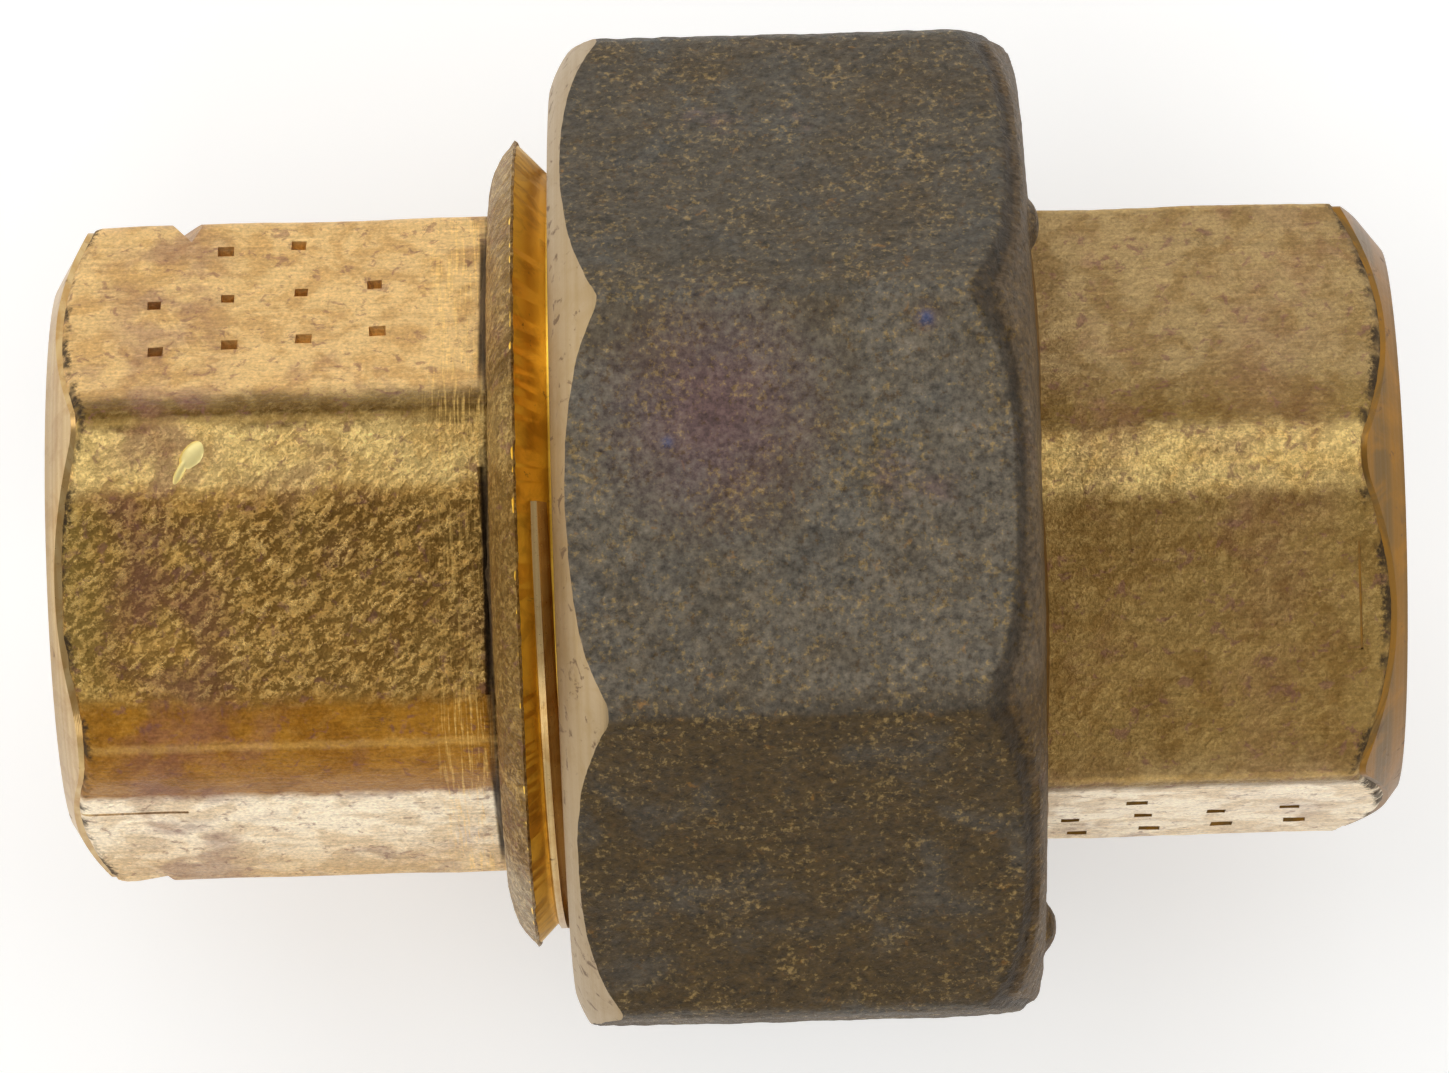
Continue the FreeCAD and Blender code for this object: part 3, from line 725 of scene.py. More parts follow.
def forged_brass(name, size, finish, turn, end, inwards, hex_length, slope, faced_share, heat_share,
                 tones_and_light, crinkled):
    """Forged brass: one tone and one amount of crinkle for each angle about the axis; the tones include
    painted light.

    end is the place of the end face, and inwards (+1 or -1) points from it into the metal. faced_share
    is how much the tool has brightened the metal beside the collar, and heat_share how much heat tint
    there is near the end face.
    """
    metal = Metal(name)
    graph = metal.graph
    flats = metal.mask(flat_faces, Radius=metal.radius, Angle=metal.angle, Sides=float(HEX_SIDES),
                       Turn=math.degrees(turn))
    fine = graph.noise(metal.point, 5.5, 5.0, 0.65)
    broad = graph.noise(metal.point, 0.35, 5.0, 0.6)
    deep = graph.math("MULTIPLY", graph.math("SUBTRACT", metal.along, end / MM), inwards)
    past_hexagon = graph.math("SUBTRACT", deep, hex_length / MM)
    flange = graph.step(past_hexagon, -0.05, 0.1)
    # Painted shadow in the crease where the hexagon meets the collar flange.
    crease = graph.step(graph.math("ABSOLUTE", graph.math("ADD", past_hexagon, 0.02)), 0.28, 0.1)
    crease = graph.math("MULTIPLY", crease, graph.step(metal.radius, 15.2, 14.0))

    # Painted shade in the step where the forged skin stops short of the turned chamfer.
    chamfer = graph.math("SUBTRACT", metal.radius, (size.hex_flats / 2 - size.wrench_inset) / MM)
    lip = graph.math("SUBTRACT", deep, graph.math("MULTIPLY", chamfer, math.tan(slope)))
    lip = graph.math("ADD", lip, graph.math("MULTIPLY_ADD", fine, 0.8, -0.4))
    gaps = graph.noise(metal.point, 0.5, 3.0, 0.6)
    lip = graph.math("MULTIPLY", graph.step(lip, 0.62, 0.3), graph.step(gaps, 0.42, 0.58))

    tone = metal.round_the_axis(tones_and_light, 3.0)
    tone = graph.lay(tone, finish.olive, flange, 0.75)
    crinkle_share = graph.level(flange, metal.round_the_axis(crinkled, 3.0), 0.55)
    crinkle_share = graph.math("MULTIPLY", crinkle_share, graph.step(broad, 0.2, 0.5, 0.6, 1.0))
    coarse = metal.mask(crinkles, Size=0.8)
    crinkle = metal.mask(crinkles, Size=0.36)
    patina = metal.mask(mottling, Size=2.2, Cover=0.46, Softness=0.16)["Mask"]
    spots = metal.mask(mottling, Size=0.7, Cover=0.28, Softness=0.08)["Mask"]
    tarnish = metal.mask(mottling, Size=5.0, Cover=0.26, Softness=0.14)["Mask"]
    rubbed = metal.mask(edge_rub, Corner=flats["Corner"], Width=0.7)["Mask"]
    lines = metal.mask(scratches, Lean=0.12, Width=0.07, Count=0.7)["Mask"]
    cross_lines = metal.mask(scratches, Lean=0.9, Width=0.06, Count=0.5)["Mask"]
    cuts = graph.math("MAXIMUM", lines, cross_lines)
    streaks = graph.noise(graph.stretch(metal.point, 0.25, 5.0, 5.0), 1.0, 4.0, 0.6)
    tool_lines = graph.noise(graph.stretch(metal.point, 7.0, 0.35, 0.35), 1.0, 3.0, 0.6)
    faced = graph.math("MULTIPLY", graph.step(past_hexagon, -3.2, -1.6), graph.step(past_hexagon, 0.1, -0.1))
    faced = graph.math("MULTIPLY", faced, graph.step(tool_lines, 0.5, 0.64))
    faced = graph.math("MULTIPLY", faced, graph.math("MULTIPLY", streaks, faced_share))

    valleys = graph.math("MULTIPLY", crinkle_share, graph.math("SUBTRACT", 1.0, crinkle["Tops"]))
    lit = graph.math("MULTIPLY", crinkle["Tops"], graph.math("MULTIPLY_ADD", coarse["Tops"], 0.7, 0.3))
    tops = graph.math("MULTIPLY", crinkle_share, lit)
    base = graph.mix(graph.math("MULTIPLY", patina, 0.5), tone, finish.patina, "MULTIPLY")
    base = graph.lay(base, finish.tarnish, tarnish, 0.45)
    base = graph.lay(base, finish.soot, valleys, 0.75)
    # Painted highlight on the tops of the folds.
    base = graph.lay(base, graph.mix(0.5, tone, finish.glow), tops, 0.85)
    end_green = graph.math("MULTIPLY", graph.step(deep, 4.2, 1.2), crinkle_share)
    base = graph.lay(base, finish.green, end_green, 0.22)
    heat = graph.step(graph.math("ABSOLUTE", graph.math("SUBTRACT", deep, 5.5)), 3.6, 1.0)
    heat = graph.math("MULTIPLY", heat, graph.step(broad, 0.4, 0.58))
    base = graph.lay(base, finish.tarnish, heat, heat_share)
    base = graph.lay(base, finish.tarnish, spots, 0.5)
    base = graph.lay(base, finish.gold, rubbed, 0.2)
    base = graph.mix(faced, base, finish.gold)
    base = graph.lay(base, finish.soot, cuts, 0.5)
    # Painted shade in the crease and the step, which are also less metallic and rougher.
    painted_shade = graph.math("MAXIMUM", crease, lip)
    base = graph.lay(base, finish.dirt, painted_shade, 0.9)
    shade = graph.math("MULTIPLY", graph.math("MULTIPLY_ADD", streaks, 0.6, 0.7),
                       graph.math("MULTIPLY_ADD", fine, 1.3, 0.35))
    base = graph.darken(base, shade)

    roughness = graph.level(graph.math("MULTIPLY", patina, 0.7), 0.36, 0.5)
    roughness = graph.level(graph.math("MULTIPLY", spots, 0.6), roughness, 0.65)
    roughness = graph.level(tops, roughness, 0.24)
    metallic = graph.level(spots, 1.0, 0.8)
    metallic = graph.level(painted_shade, metallic, 0.5)
    roughness = graph.level(painted_shade, roughness, 0.8)

    skin = graph.math("MULTIPLY", graph.math("MULTIPLY", coarse["Height"], crinkle_share), 0.4)
    fine_skin = graph.math("MULTIPLY", graph.math("MULTIPLY", crinkle["Height"], crinkle_share), 0.5)
    grain = graph.math("MULTIPLY_ADD", fine, 0.03, graph.math("MULTIPLY", streaks, 0.012))
    height = graph.math("ADD", graph.math("ADD", skin, fine_skin), grain)
    height = graph.math("SUBTRACT", height, graph.math("MULTIPLY", cuts, 0.016))
    return metal.finish(base, roughness, metallic, height)


def turned_metal(name, bright, dull, spotted, feed, roughness, finish):
    """Turned brass: rings from the lathe, with dull patches and dark spots."""
    metal = Metal(name)
    graph = metal.graph
    rings = metal.mask(turning_marks, Along=metal.along, Radius=metal.radius, Feed=feed)
    dullness = metal.mask(mottling, Size=1.6, Cover=0.4, Softness=0.2)["Mask"]
    spots = metal.mask(mottling, Size=0.9, Cover=spotted, Softness=0.1)["Mask"]
    fine = graph.noise(metal.point, 6.0, 4.0, 0.6)
    base = graph.lay(bright, dull, dullness, 0.4)
    base = graph.lay(base, dull, rings["Shade"], 0.4)
    base = graph.lay(base, finish.stain, spots, 0.8)
    rough = graph.level(spots, graph.math("MULTIPLY_ADD", fine, 0.16, roughness - 0.08), 0.6)
    height = graph.math("ADD", graph.math("MULTIPLY", rings["Height"], 0.012),
                        graph.math("MULTIPLY", fine, 0.006))
    return metal.finish(base, rough, graph.level(spots, 1.0, 0.75), height)


def cast_bronze(name, rim, size, finish):
    """The dark skin of the cast nut: sandy, with bluish and brown areas and bright specks, partly rubbed
    metal, partly painted glints.

    rim is where the rounded right shoulder starts along the axis. A painted shadow lies in the step before
    it.
    """
    metal = Metal(name)
    graph = metal.graph
    grain = metal.mask(sand_grain, Size=0.42)
    coarse = metal.mask(crinkles, Size=1.1)
    brown = metal.mask(mottling, Size=6.0, Cover=0.42, Softness=0.25)["Mask"]
    blue = metal.mask(mottling, Size=4.0, Cover=0.34, Softness=0.2)["Mask"]
    purple = metal.mask(mottling, Size=8.0, Cover=0.18, Softness=0.12)["Mask"]
    rust = metal.mask(mottling, Size=0.8, Cover=0.16, Softness=0.08)["Mask"]
    flats = metal.mask(flat_faces, Radius=metal.radius, Angle=metal.angle, Sides=float(NUT_SIDES), Turn=0.0)
    rubbed = metal.mask(edge_rub, Corner=flats["Corner"], Width=0.9)["Mask"]
    # Casting colours, with painted shade on the upper flats from 26° to 60°.
    tone = metal.round_the_axis([
        (-180, finish.bronze), (-112, finish.bronze_brown), (-67, finish.bronze_brown),
        (-45, finish.bronze_brown), (-24, finish.bronze_brown), (-20, finish.bronze), (21, finish.bronze),
        (26, finish.bronze_dark), (60, finish.bronze_dark), (112, finish.bronze_brown),
        (180, finish.bronze)], 2.0)
    base = graph.lay(tone, finish.bronze_brown, brown, 0.5)
    base = graph.lay(base, finish.bronze_blue, blue, 0.3)
    base = graph.lay(base, finish.bronze_purple, purple, 0.5)
    base = graph.lay(base, finish.orange, rust, 0.4)
    broad_mark, small_mark, corner_mark = (-0.3, 4.0, 22.5), (-2.4, 2.7, 22.5), (9.2, 7.9, 22.5)
    for centre, reach, share, tint in ((broad_mark, 9.0, 0.75, finish.bronze_purple),
                                       (small_mark, 0.6, 0.6, finish.heat_blue),
                                       (corner_mark, 1.2, 0.5, finish.bronze_purple),
                                       (corner_mark, 0.7, 0.8, finish.heat_blue)):
        away = graph.add("ShaderNodeVectorMath", operation="DISTANCE")
        graph.feed(away.inputs[0], metal.point)
        away.inputs[1].default_value = centre
        ragged = graph.math("ADD", away.outputs["Value"], graph.math("MULTIPLY", grain["Dust"], reach))
        base = graph.mix(graph.step(ragged, reach * 1.25, reach * 0.5, 0.0, share), base, tint)
    # Rubbed corners laid bluish: partly wear, partly a painted sheen along the rounded corners.
    base = graph.lay(base, finish.bronze_blue, rubbed, 0.25)
    # Bright specks: partly bare metal, partly painted glints.
    base = graph.lay(base, finish.bronze_gold, grain["Glints"], 0.6)
    base = graph.lay(base, finish.soot, grain["Pits"], 0.6)
    outside = graph.math("MAXIMUM", graph.math("SUBTRACT", metal.radius, size.nut_face / MM), 0.0)
    rounding = SHOULDER_ROUNDING / MM
    inside = graph.math("SUBTRACT", rounding ** 2, graph.math("MULTIPLY", outside, outside))
    drop = graph.math("SUBTRACT", rounding, graph.math("SQRT", graph.math("MAXIMUM", inside, 0.0)))
    past_flats = graph.math("ADD", graph.math("SUBTRACT", metal.along, rim / MM), drop)
    shoulder = graph.step(past_flats, -0.7, -0.3)
    # Painted shadow along the step before the shoulder.
    crevice = graph.step(graph.math("ABSOLUTE", graph.math("ADD", past_flats, 0.42)), 0.24, 0.04)
    base = graph.lay(base, finish.soot, shoulder, 0.5)
    base = graph.lay(base, finish.crevice, crevice, 0.55)
    clouds = graph.noise(metal.point, 0.9, 5.0, 0.65)
    shade = graph.math("MULTIPLY", graph.math("MULTIPLY_ADD", grain["Dust"], 3.2, -0.5),
                       graph.math("MULTIPLY_ADD", clouds, 1.2, 0.4))
    shade = graph.math("MAXIMUM", shade, 0.15)
    base = graph.darken(base, shade)
    metallic = graph.level(grain["Glints"], 0.5, 0.95)
    roughness = graph.level(grain["Glints"], 0.52, 0.34)
    height = graph.math("ADD", graph.math("MULTIPLY", grain["Height"], 0.28),
                        graph.math("MULTIPLY", coarse["Height"], 0.45))
    return metal.finish(base, roughness, metallic, height)


# ---------------------------------------------------------------- shared shapes

def wrench_end(name, end, inwards, size, turn, slope, corners, hex_length, materials):
    """A forged hexagon whose end was turned: the rough skin stops a step short of the turned core.

    end is the place of the end face, and inwards (+1 or -1) points from it into the metal.
    """
    face = size.hex_flats / 2 - size.wrench_inset
    reach = size.hex_flats
    root = end + inwards * hex_length

    def cone(shift, lift):
        first = end + inwards * shift
        top = first + inwards * (reach - face) * math.tan(slope)
        return [(first, 0), (first, face + lift), (top, reach + lift), (root + inwards * MM, reach + lift),
                (root + inwards * MM, 0)]

    left, right = min(end, root), max(end, root)
    skin = prism(name, HEX_SIDES, size.hex_flats, left, right, turn, corners, materials)
    combine(skin, turned(name + "_skin_cone", cone(0.2 * MM, -size.skin_step * 0.5), materials, SKIN),
            "INTERSECT")
    remesh(skin, size.skin_voxel)

    core_corners = [max(radius - size.skin_step, 0.4 * MM) for radius in corners]
    core = prism(name + "_core", HEX_SIDES, size.hex_flats - size.skin_step * 2, left, right, turn,
                 core_corners, materials, TURNED)
    combine(core, turned(name + "_core_cone", cone(0.0, 0.0), materials), "INTERSECT")
    return skin, core


def port_tool(name, end, inwards, size, materials, index):
    """What is cut away for a pipe port: its bore, its countersink and its straight pipe thread."""
    depth = size.port_depth
    mouth = size.port_mouth - size.port_radius
    outside = end - inwards * MM
    bottom = end + inwards * (depth + 1.2 * MM)
    tool = turned(name, [
        (outside, 0), (outside, size.port_mouth + MM), (end + inwards * mouth, size.port_radius),
        (end + inwards * depth, size.port_radius), (bottom, size.passage_radius), (bottom, 0)],
        materials, index, 160)
    run_out = 0.6 * MM
    lead_in = 0.8 * MM
    turns = (depth - run_out) / size.port_pitch
    half_foot = size.port_pitch * 0.44
    half_tip = 0.08 * MM
    foot = size.port_radius - OVERLAP
    tip = size.port_radius + 1.25 * MM
    start = end - lead_in if inwards > 0 else end - depth
    section = [(start - half_foot, foot), (start - half_tip, tip), (start + half_tip, tip),
               (start + half_foot, foot)]
    thread = coil(name + "_thread", section, 0.0, turns, size.port_pitch, materials, index, 96)
    combine(tool, thread, "UNION")
    return tool


def jaw_bites(name, turn, flats, materials, index, first, lean, rows, side, depth):
    """Square dents in rows, as the teeth of a pipe wrench leave them on a flat.

    first is the place (along, across) of the dent in column 0 and row 0, lean turns the rows, and rows
    gives the columns that have a dent in each row. Every dent is pressed in a little differently.
    """
    dents = []
    for column, row in [(column, row) for row, columns in enumerate(rows) for column in columns]:
        along = first[0] + JAW_PITCH * (column - row * 0.6 * lean)
        across = first[1] + JAW_PITCH * 1.1 * (row + column * lean)
        press = 1.0 + 0.15 * math.sin(7.0 * column + 4.0 * row)
        select_none()
        bpy.ops.mesh.primitive_cone_add(vertices=4, radius1=side * 0.45, radius2=side * 0.95 * press,
                                        depth=depth * 2, location=(along, across, flats / 2),
                                        rotation=(0, 0, math.pi / 4 + 0.1 * math.sin(3.0 * column)))
        dents.append(bpy.context.object)
    first_dent = dents[0]
    for dent in dents:
        dent.select_set(True)
    bpy.context.view_layer.objects.active = first_dent
    bpy.ops.object.join()
    first_dent.name = name
    apply_place(first_dent)
    first_dent.rotation_euler.x = -turn
    apply_place(first_dent)
    close_up(first_dent)
    set_finish(first_dent, materials, index)
    return first_dent


def dent(name, shape, materials, index, turn, place, extent, lean):
    """A box or ball to cut a mark with. place is (along, across, height) on a flat that faces turn."""
    select_none()
    if shape == "BOX":
        bpy.ops.mesh.primitive_cube_add(size=1.0, location=place, rotation=lean)
    else:
        bpy.ops.mesh.primitive_uv_sphere_add(segments=24, ring_count=12, radius=0.5, location=place,
                                             rotation=lean)
    tool = bpy.context.object
    tool.name = name
    tool.scale = extent
    apply_place(tool)
    tool.rotation_euler.x = -turn
    apply_place(tool)
    set_finish(tool, materials, index)
    return tool


def thread_section(size, place, foot, top, widen):
    """One ridge of the union thread about a place along the axis."""
    flank = (size.thread_pitch - size.thread_crest - size.thread_valley) / 2
    flank /= size.thread_top - size.thread_root
    half_crest = size.thread_crest / 2 + widen
    half_foot = half_crest + (top - foot) * flank
    return [(place - half_foot, foot), (place - half_crest, top), (place + half_crest, top),
            (place + half_foot, foot)]


# ---------------------------------------------------------------- threaded end

class UNION_OT_threaded_end(bpy.types.Operator):
    """Build the forged hexagon with its collar, union thread, seat and pipe port"""
    bl_idname = "pipe_union.threaded_end"
    bl_label = "Threaded End"

    def execute(self, context):
        size = context.scene.union_sizes
        finish = context.scene.union_finish
        end = THREADED_LOW.x
        collar_end = THREADED_HIGH.x
        root = end + size.threaded_hex
        skin_material = forged_brass(
            "forged_brass_left", size, finish, turn=size.threaded_turn, end=end, inwards=1.0,
            hex_length=size.threaded_hex, slope=size.threaded_slope, faced_share=0.8, heat_share=0.5,
            # Patina colours, with painted light: a painted highlight from 9° to 17°, a painted shade band at
            # 19°, and the lower flat painted cream where it reflects the table.
            tones_and_light=[(-180, finish.olive), (-150, finish.honey), (-110, finish.tan), (-72, finish.cream),
                   (-60, finish.cream), (-56, finish.orange), (-34, finish.orange), (-29, finish.honey),
                   (6, finish.honey), (9, finish.glow), (17, finish.glow), (19, finish.soot),
                   (23, finish.olive), (27, finish.tan), (75, finish.tan), (110, finish.honey),
                   (150, finish.olive), (180, finish.olive)],
            crinkled=[(-180, 0.3), (-60, 0.1), (-34, 0.12), (-29, 0.9), (3, 1.0), (8, 0.5), (17, 0.5),
                      (20, 0.25), (28, 0.06), (80, 0.06), (120, 0.6), (180, 0.3)])
        turned_material = turned_metal("turned_brass", finish.turned, finish.orange, 0.12, 0.09, 0.3, finish)
        bore_material = turned_metal("bored_brass", finish.bored, finish.orange, 0.1, 0.2, 0.34, finish)
        fresh_material = turned_metal("fresh_brass", finish.fresh, finish.fresh, 0.0, 0.2, 0.5, finish)
        materials = [skin_material, turned_material, bore_material, fresh_material]

        into_collar = 0.4 * MM
        skin, core = wrench_end("threaded_hexagon", end, 1, size, size.threaded_turn, size.threaded_slope,
                                THREADED_CORNERS, size.threaded_hex + into_collar, materials)

        def crinkled(place):
            """Full on the flat that faces the turn, and faint beyond its corners."""
            away = abs(wrapped(angle_of(place) - size.threaded_turn))
            return 1.0 - 0.85 * smooth_step(away, math.radians(22), math.radians(34))

        group = paint_group(skin, "crinkled", crinkled)
        roughen(skin, "CLOUDS", 0.9 * MM, 0.16 * MM, group, noise_depth=3)
        roughen(skin, "CLOUDS", 6.0 * MM, 0.2 * MM, noise_depth=1)
        combine(skin, core, "UNION")

        combine(skin, self.forged_flange(size, root, materials), "UNION")
        combine(skin, self.threaded_collar(size, root, collar_end, materials), "UNION")

        passage_start = end + size.port_depth - MM
        seat_depth = SEAT_MOUTH - size.passage_radius
        combine(skin, turned("passage", [
            (passage_start, 0), (passage_start, size.passage_radius),
            (collar_end - seat_depth, size.passage_radius), (collar_end, SEAT_MOUTH),
            (collar_end + MM, SEAT_MOUTH + MM), (collar_end + MM, 0)], materials, BORE, 160), "DIFFERENCE")
        combine(skin, port_tool("left_port", end, 1, size, materials, TURNED), "DIFFERENCE")

        bites = jaw_bites("jaw_bites", HEX_STEP + size.threaded_turn, size.hex_flats, materials, SKIN,
                          first=(end + 5.05 * MM, -2.6 * MM), lean=0.1,
                          rows=(range(4), range(4), range(1, 3)), side=0.7 * MM, depth=0.42 * MM)
        combine(skin, bites, "DIFFERENCE")
        for mark in self.wear_marks(size, end, root, materials):
            combine(skin, mark, "DIFFERENCE")
        finish_piece(skin, "threaded_end_brass", "threaded_end", "threaded_end")
        return {"FINISHED"}

    def forged_flange(self, size, root, materials):
        """The rough left side of the collar, which rounds into the hexagon, and its burred rim."""
        rim = root + size.collar_cone
        wall = (root + 0.25 * MM, 15.9 * MM)
        rim_edge = (rim, size.rim_radius - 0.1 * MM)
        foot = root - 0.6 * MM
        back = rim + 0.22 * MM
        flange = turned("collar_flange", [
            (foot, 0), (foot, 13.1 * MM), (root - 0.1 * MM, 13.6 * MM), (root + 0.2 * MM, 14.4 * MM),
            wall, *arc(wall, rim_edge, 3.6 * MM, 1, 12), rim_edge,
            (rim + 0.06 * MM, size.rim_radius), (rim + 0.16 * MM, size.rim_radius - 0.06 * MM),
            (back, size.rim_radius - 0.7 * MM), (back, 0)], materials, SKIN, 720)

        def forged_side(place):
            return 1.0 if place.x < rim + 0.1 * MM else 0.0

        def burr(place):
            outside = math.hypot(place.y, place.z) > size.rim_radius - 0.3 * MM
            return 1.0 if place.x > rim - 0.12 * MM and outside else 0.0

        roughen(flange, "CLOUDS", 0.7 * MM, 0.16 * MM, paint_group(flange, "forged_side", forged_side),
                noise_depth=3)
        roughen(flange, "CLOUDS", 0.5 * MM, 0.14 * MM, paint_group(flange, "burr", burr), noise_depth=2)
        return flange

    def threaded_collar(self, size, root, collar_end, materials):
        """The turned collar with its relief cone, the union thread and the bevel at its end."""
        rim = root + size.collar_cone
        start = root + 0.5 * MM
        relief = rim + 0.1 * MM + (size.rim_radius - size.thread_root) * math.tan(size.relief)
        blank_end = collar_end + size.thread_pitch * 2
        collar = turned("collar", [
            (start, 0), (start, size.thread_root), (rim + 0.05 * MM, size.rim_radius - 0.05 * MM),
            (relief, size.thread_root), (blank_end, size.thread_root), (blank_end, 0)], materials, BORE, 360)
        first_crest = root + size.thread_start
        turns = (blank_end - first_crest) / size.thread_pitch
        section = thread_section(size, first_crest, size.thread_root - OVERLAP, size.thread_top, 0.0)
        ridge = coil("union_thread", section, size.start_turn, turns, size.thread_pitch, materials)
        combine(collar, ridge, "UNION")
        lead = size.thread_root - 0.3 * MM
        bevel_start = collar_end - (size.rim_radius - lead)
        far = collar_end + 10 * MM
        combine(collar, turned("thread_lead", [
            (collar_end, 0), (collar_end, lead), (bevel_start, size.rim_radius),
            (bevel_start, 2 * size.rim_radius), (far, 2 * size.rim_radius), (far, 0)], materials),
            "DIFFERENCE")
        return collar

    def wear_marks(self, size, end, root, materials):
        """Tools that cut the notch, the chip, the gouge, the nick and the undercut beside the collar."""
        flat = size.threaded_turn
        half_flats = size.hex_flats / 2
        corner = HEX_STEP / 2
        corner_radius = half_flats / math.cos(corner)
        marks = [
            dent("notch", "BOX", materials, SKIN, turn=flat + 3 * corner,
                 place=(end + 6.1 * MM, 0, corner_radius - 0.18 * MM),
                 extent=(0.95 * MM, 5 * MM, 0.95 * MM), lean=(0, math.radians(48), math.radians(12))),
            dent("chip", "BALL", materials, FRESH, turn=flat,
                 place=(end + 6.9 * MM, 6.1 * MM, half_flats), extent=(1.6 * MM, 1.0 * MM, 0.34 * MM),
                 lean=(0.15, 0, math.radians(50))),
            dent("chip_tail", "BALL", materials, FRESH, turn=flat,
                 place=(end + 6.3 * MM, 5.4 * MM, half_flats), extent=(1.5 * MM, 0.45 * MM, 0.3 * MM),
                 lean=(0, 0, math.radians(62))),
            dent("gouge", "BOX", materials, SKIN, turn=flat - HEX_STEP,
                 place=(end + 2.9 * MM, 1.3 * MM, half_flats), extent=(5.6 * MM, 0.26 * MM, 0.5 * MM),
                 lean=(0, math.radians(1.5), 0)),
            dent("nick", "BOX", materials, SKIN, turn=flat - 3 * corner,
                 place=(end + 3.4 * MM, 0, corner_radius), extent=(2.2 * MM, 3 * MM, 0.7 * MM),
                 lean=(0, 0.2, 0.3))]
        for side in (-1, 1):
            marks.append(dent("undercut", "BOX", materials, SKIN, turn=flat,
                              place=(root - 0.02 * MM, side * 2.5 * MM, half_flats + 0.08 * MM),
                              extent=(0.42 * MM, 5.4 * MM, 0.42 * MM),
                              lean=(0, math.radians(45), side * 0.035)))
        return marks


# ---------------------------------------------------------------- tail end

class UNION_OT_tail_end(bpy.types.Operator):
    """Build the forged hexagon with its neck, shoulder, ball nose and pipe port"""
    bl_idname = "pipe_union.tail_end"
    bl_label = "Tail End"

    def execute(self, context):
        size = context.scene.union_sizes
        finish = context.scene.union_finish
        end = TAIL_HIGH.x
        nose = TAIL_LOW.x
        root = end - size.tail_hex
        skin_material = forged_brass(
            "forged_brass_right", size, finish, turn=size.tail_turn, end=end, inwards=-1.0,
            hex_length=size.tail_hex, slope=size.tail_slope, faced_share=0.0, heat_share=0.15,
            # Patina colours, with painted light: a painted highlight from 4° to 11° and the lower flats
            # painted cream where they reflect the table.
            tones_and_light=[(-180, finish.olive), (-140, finish.honey), (-100, finish.cream), (-60, finish.cream),
                   (-56, finish.khaki), (-45, finish.umber), (0, finish.umber), (4, finish.glow),
                   (11, finish.glow), (15, finish.olive), (30, finish.khaki), (70, finish.khaki),
                   (110, finish.honey), (180, finish.olive)],
            crinkled=[(-180, 0.3), (-60, 0.1), (-45, 0.22), (0, 0.3), (4, 0.5), (11, 0.5), (16, 0.2),
                      (80, 0.1), (120, 0.6), (180, 0.3)])
        turned_material = turned_metal("turned_brass_right", finish.turned_dark, finish.orange, 0.2, 0.09,
                                       0.4, finish)
        bore_material = turned_metal("bored_brass_right", finish.turned, finish.orange, 0.15, 0.2, 0.34,
                                     finish)
        materials = [skin_material, turned_material, bore_material]

        skin, core = wrench_end("tail_hexagon", end, -1, size, size.tail_turn, size.tail_slope,
                                TAIL_CORNERS, size.tail_hex, materials)
        group = paint_group(skin, "grain", lambda place: 0.6)
        roughen(skin, "CLOUDS", 1.1 * MM, 0.12 * MM, group, noise_depth=3)
        roughen(skin, "CLOUDS", 6.0 * MM, 0.16 * MM, noise_depth=1)
        combine(skin, core, "UNION")

        combine(skin, self.nose_and_shoulder(nose, root, materials), "UNION")
        passage_end = end - size.port_depth + MM
        combine(skin, turned("passage", [
            (nose - MM, 0), (nose - MM, size.passage_radius), (passage_end, size.passage_radius),
            (passage_end, 0)], materials, BORE, 160), "DIFFERENCE")
        combine(skin, port_tool("right_port", end, -1, size, materials, BORE), "DIFFERENCE")

        bites = jaw_bites("jaw_bites_right", size.tail_turn - HEX_STEP, size.hex_flats, materials, TURNED,
                          first=(root + 2.1 * MM, -5.9 * MM), lean=0.2,
                          rows=(range(4), range(4), range(1, 2)), side=0.95 * MM, depth=0.55 * MM)
        combine(skin, bites, "DIFFERENCE")
        scratch = dent("scratch", "BOX", materials, TURNED, turn=size.tail_turn,
                       place=(end - 2.2 * MM, 1.0 * MM, size.hex_flats / 2),
                       extent=(0.12 * MM, 5.2 * MM, 0.16 * MM), lean=(0, 0, 0.02))
        combine(skin, scratch, "DIFFERENCE")
        finish_piece(skin, "tail_end_brass", "tail_end", "tail_end")
        return {"FINISHED"}

    def nose_and_shoulder(self, nose, root, materials):
        """The turned part inside the nut: the ball that beds on the seat, the shoulder and the neck."""
        shoulder_left = THREADED_HIGH.x + SHOULDER_START
        shoulder_right = shoulder_left + SHOULDER_LENGTH
        ball_radius = BALL_MIDDLE / math.cos(math.radians(45)) - SEAT_GAP
        ball_centre = nose + math.sqrt(ball_radius ** 2 - NOSE_RADIUS ** 2)
        ball_start = (nose, NOSE_RADIUS)
        ball_end = (ball_centre - math.sqrt(ball_radius ** 2 - BALL_EDGE ** 2), BALL_EDGE)
        bevelled = 16.75 * MM
        neck_end = root + 0.7 * MM
        return turned("nose_and_shoulder", [
            (nose, 0), ball_start, *arc(ball_start, ball_end, ball_radius, 1, 12), ball_end,
            (shoulder_left, bevelled), (shoulder_left + SHOULDER_BEVEL, SHOULDER_RADIUS),
            (shoulder_right - SHOULDER_BEVEL, SHOULDER_RADIUS), (shoulder_right, bevelled),
            (shoulder_right, NECK_RADIUS), (root + 0.3 * MM, NECK_RADIUS), (neck_end, 13.0 * MM),
            (neck_end, 0)], materials)


# ---------------------------------------------------------------- union nut

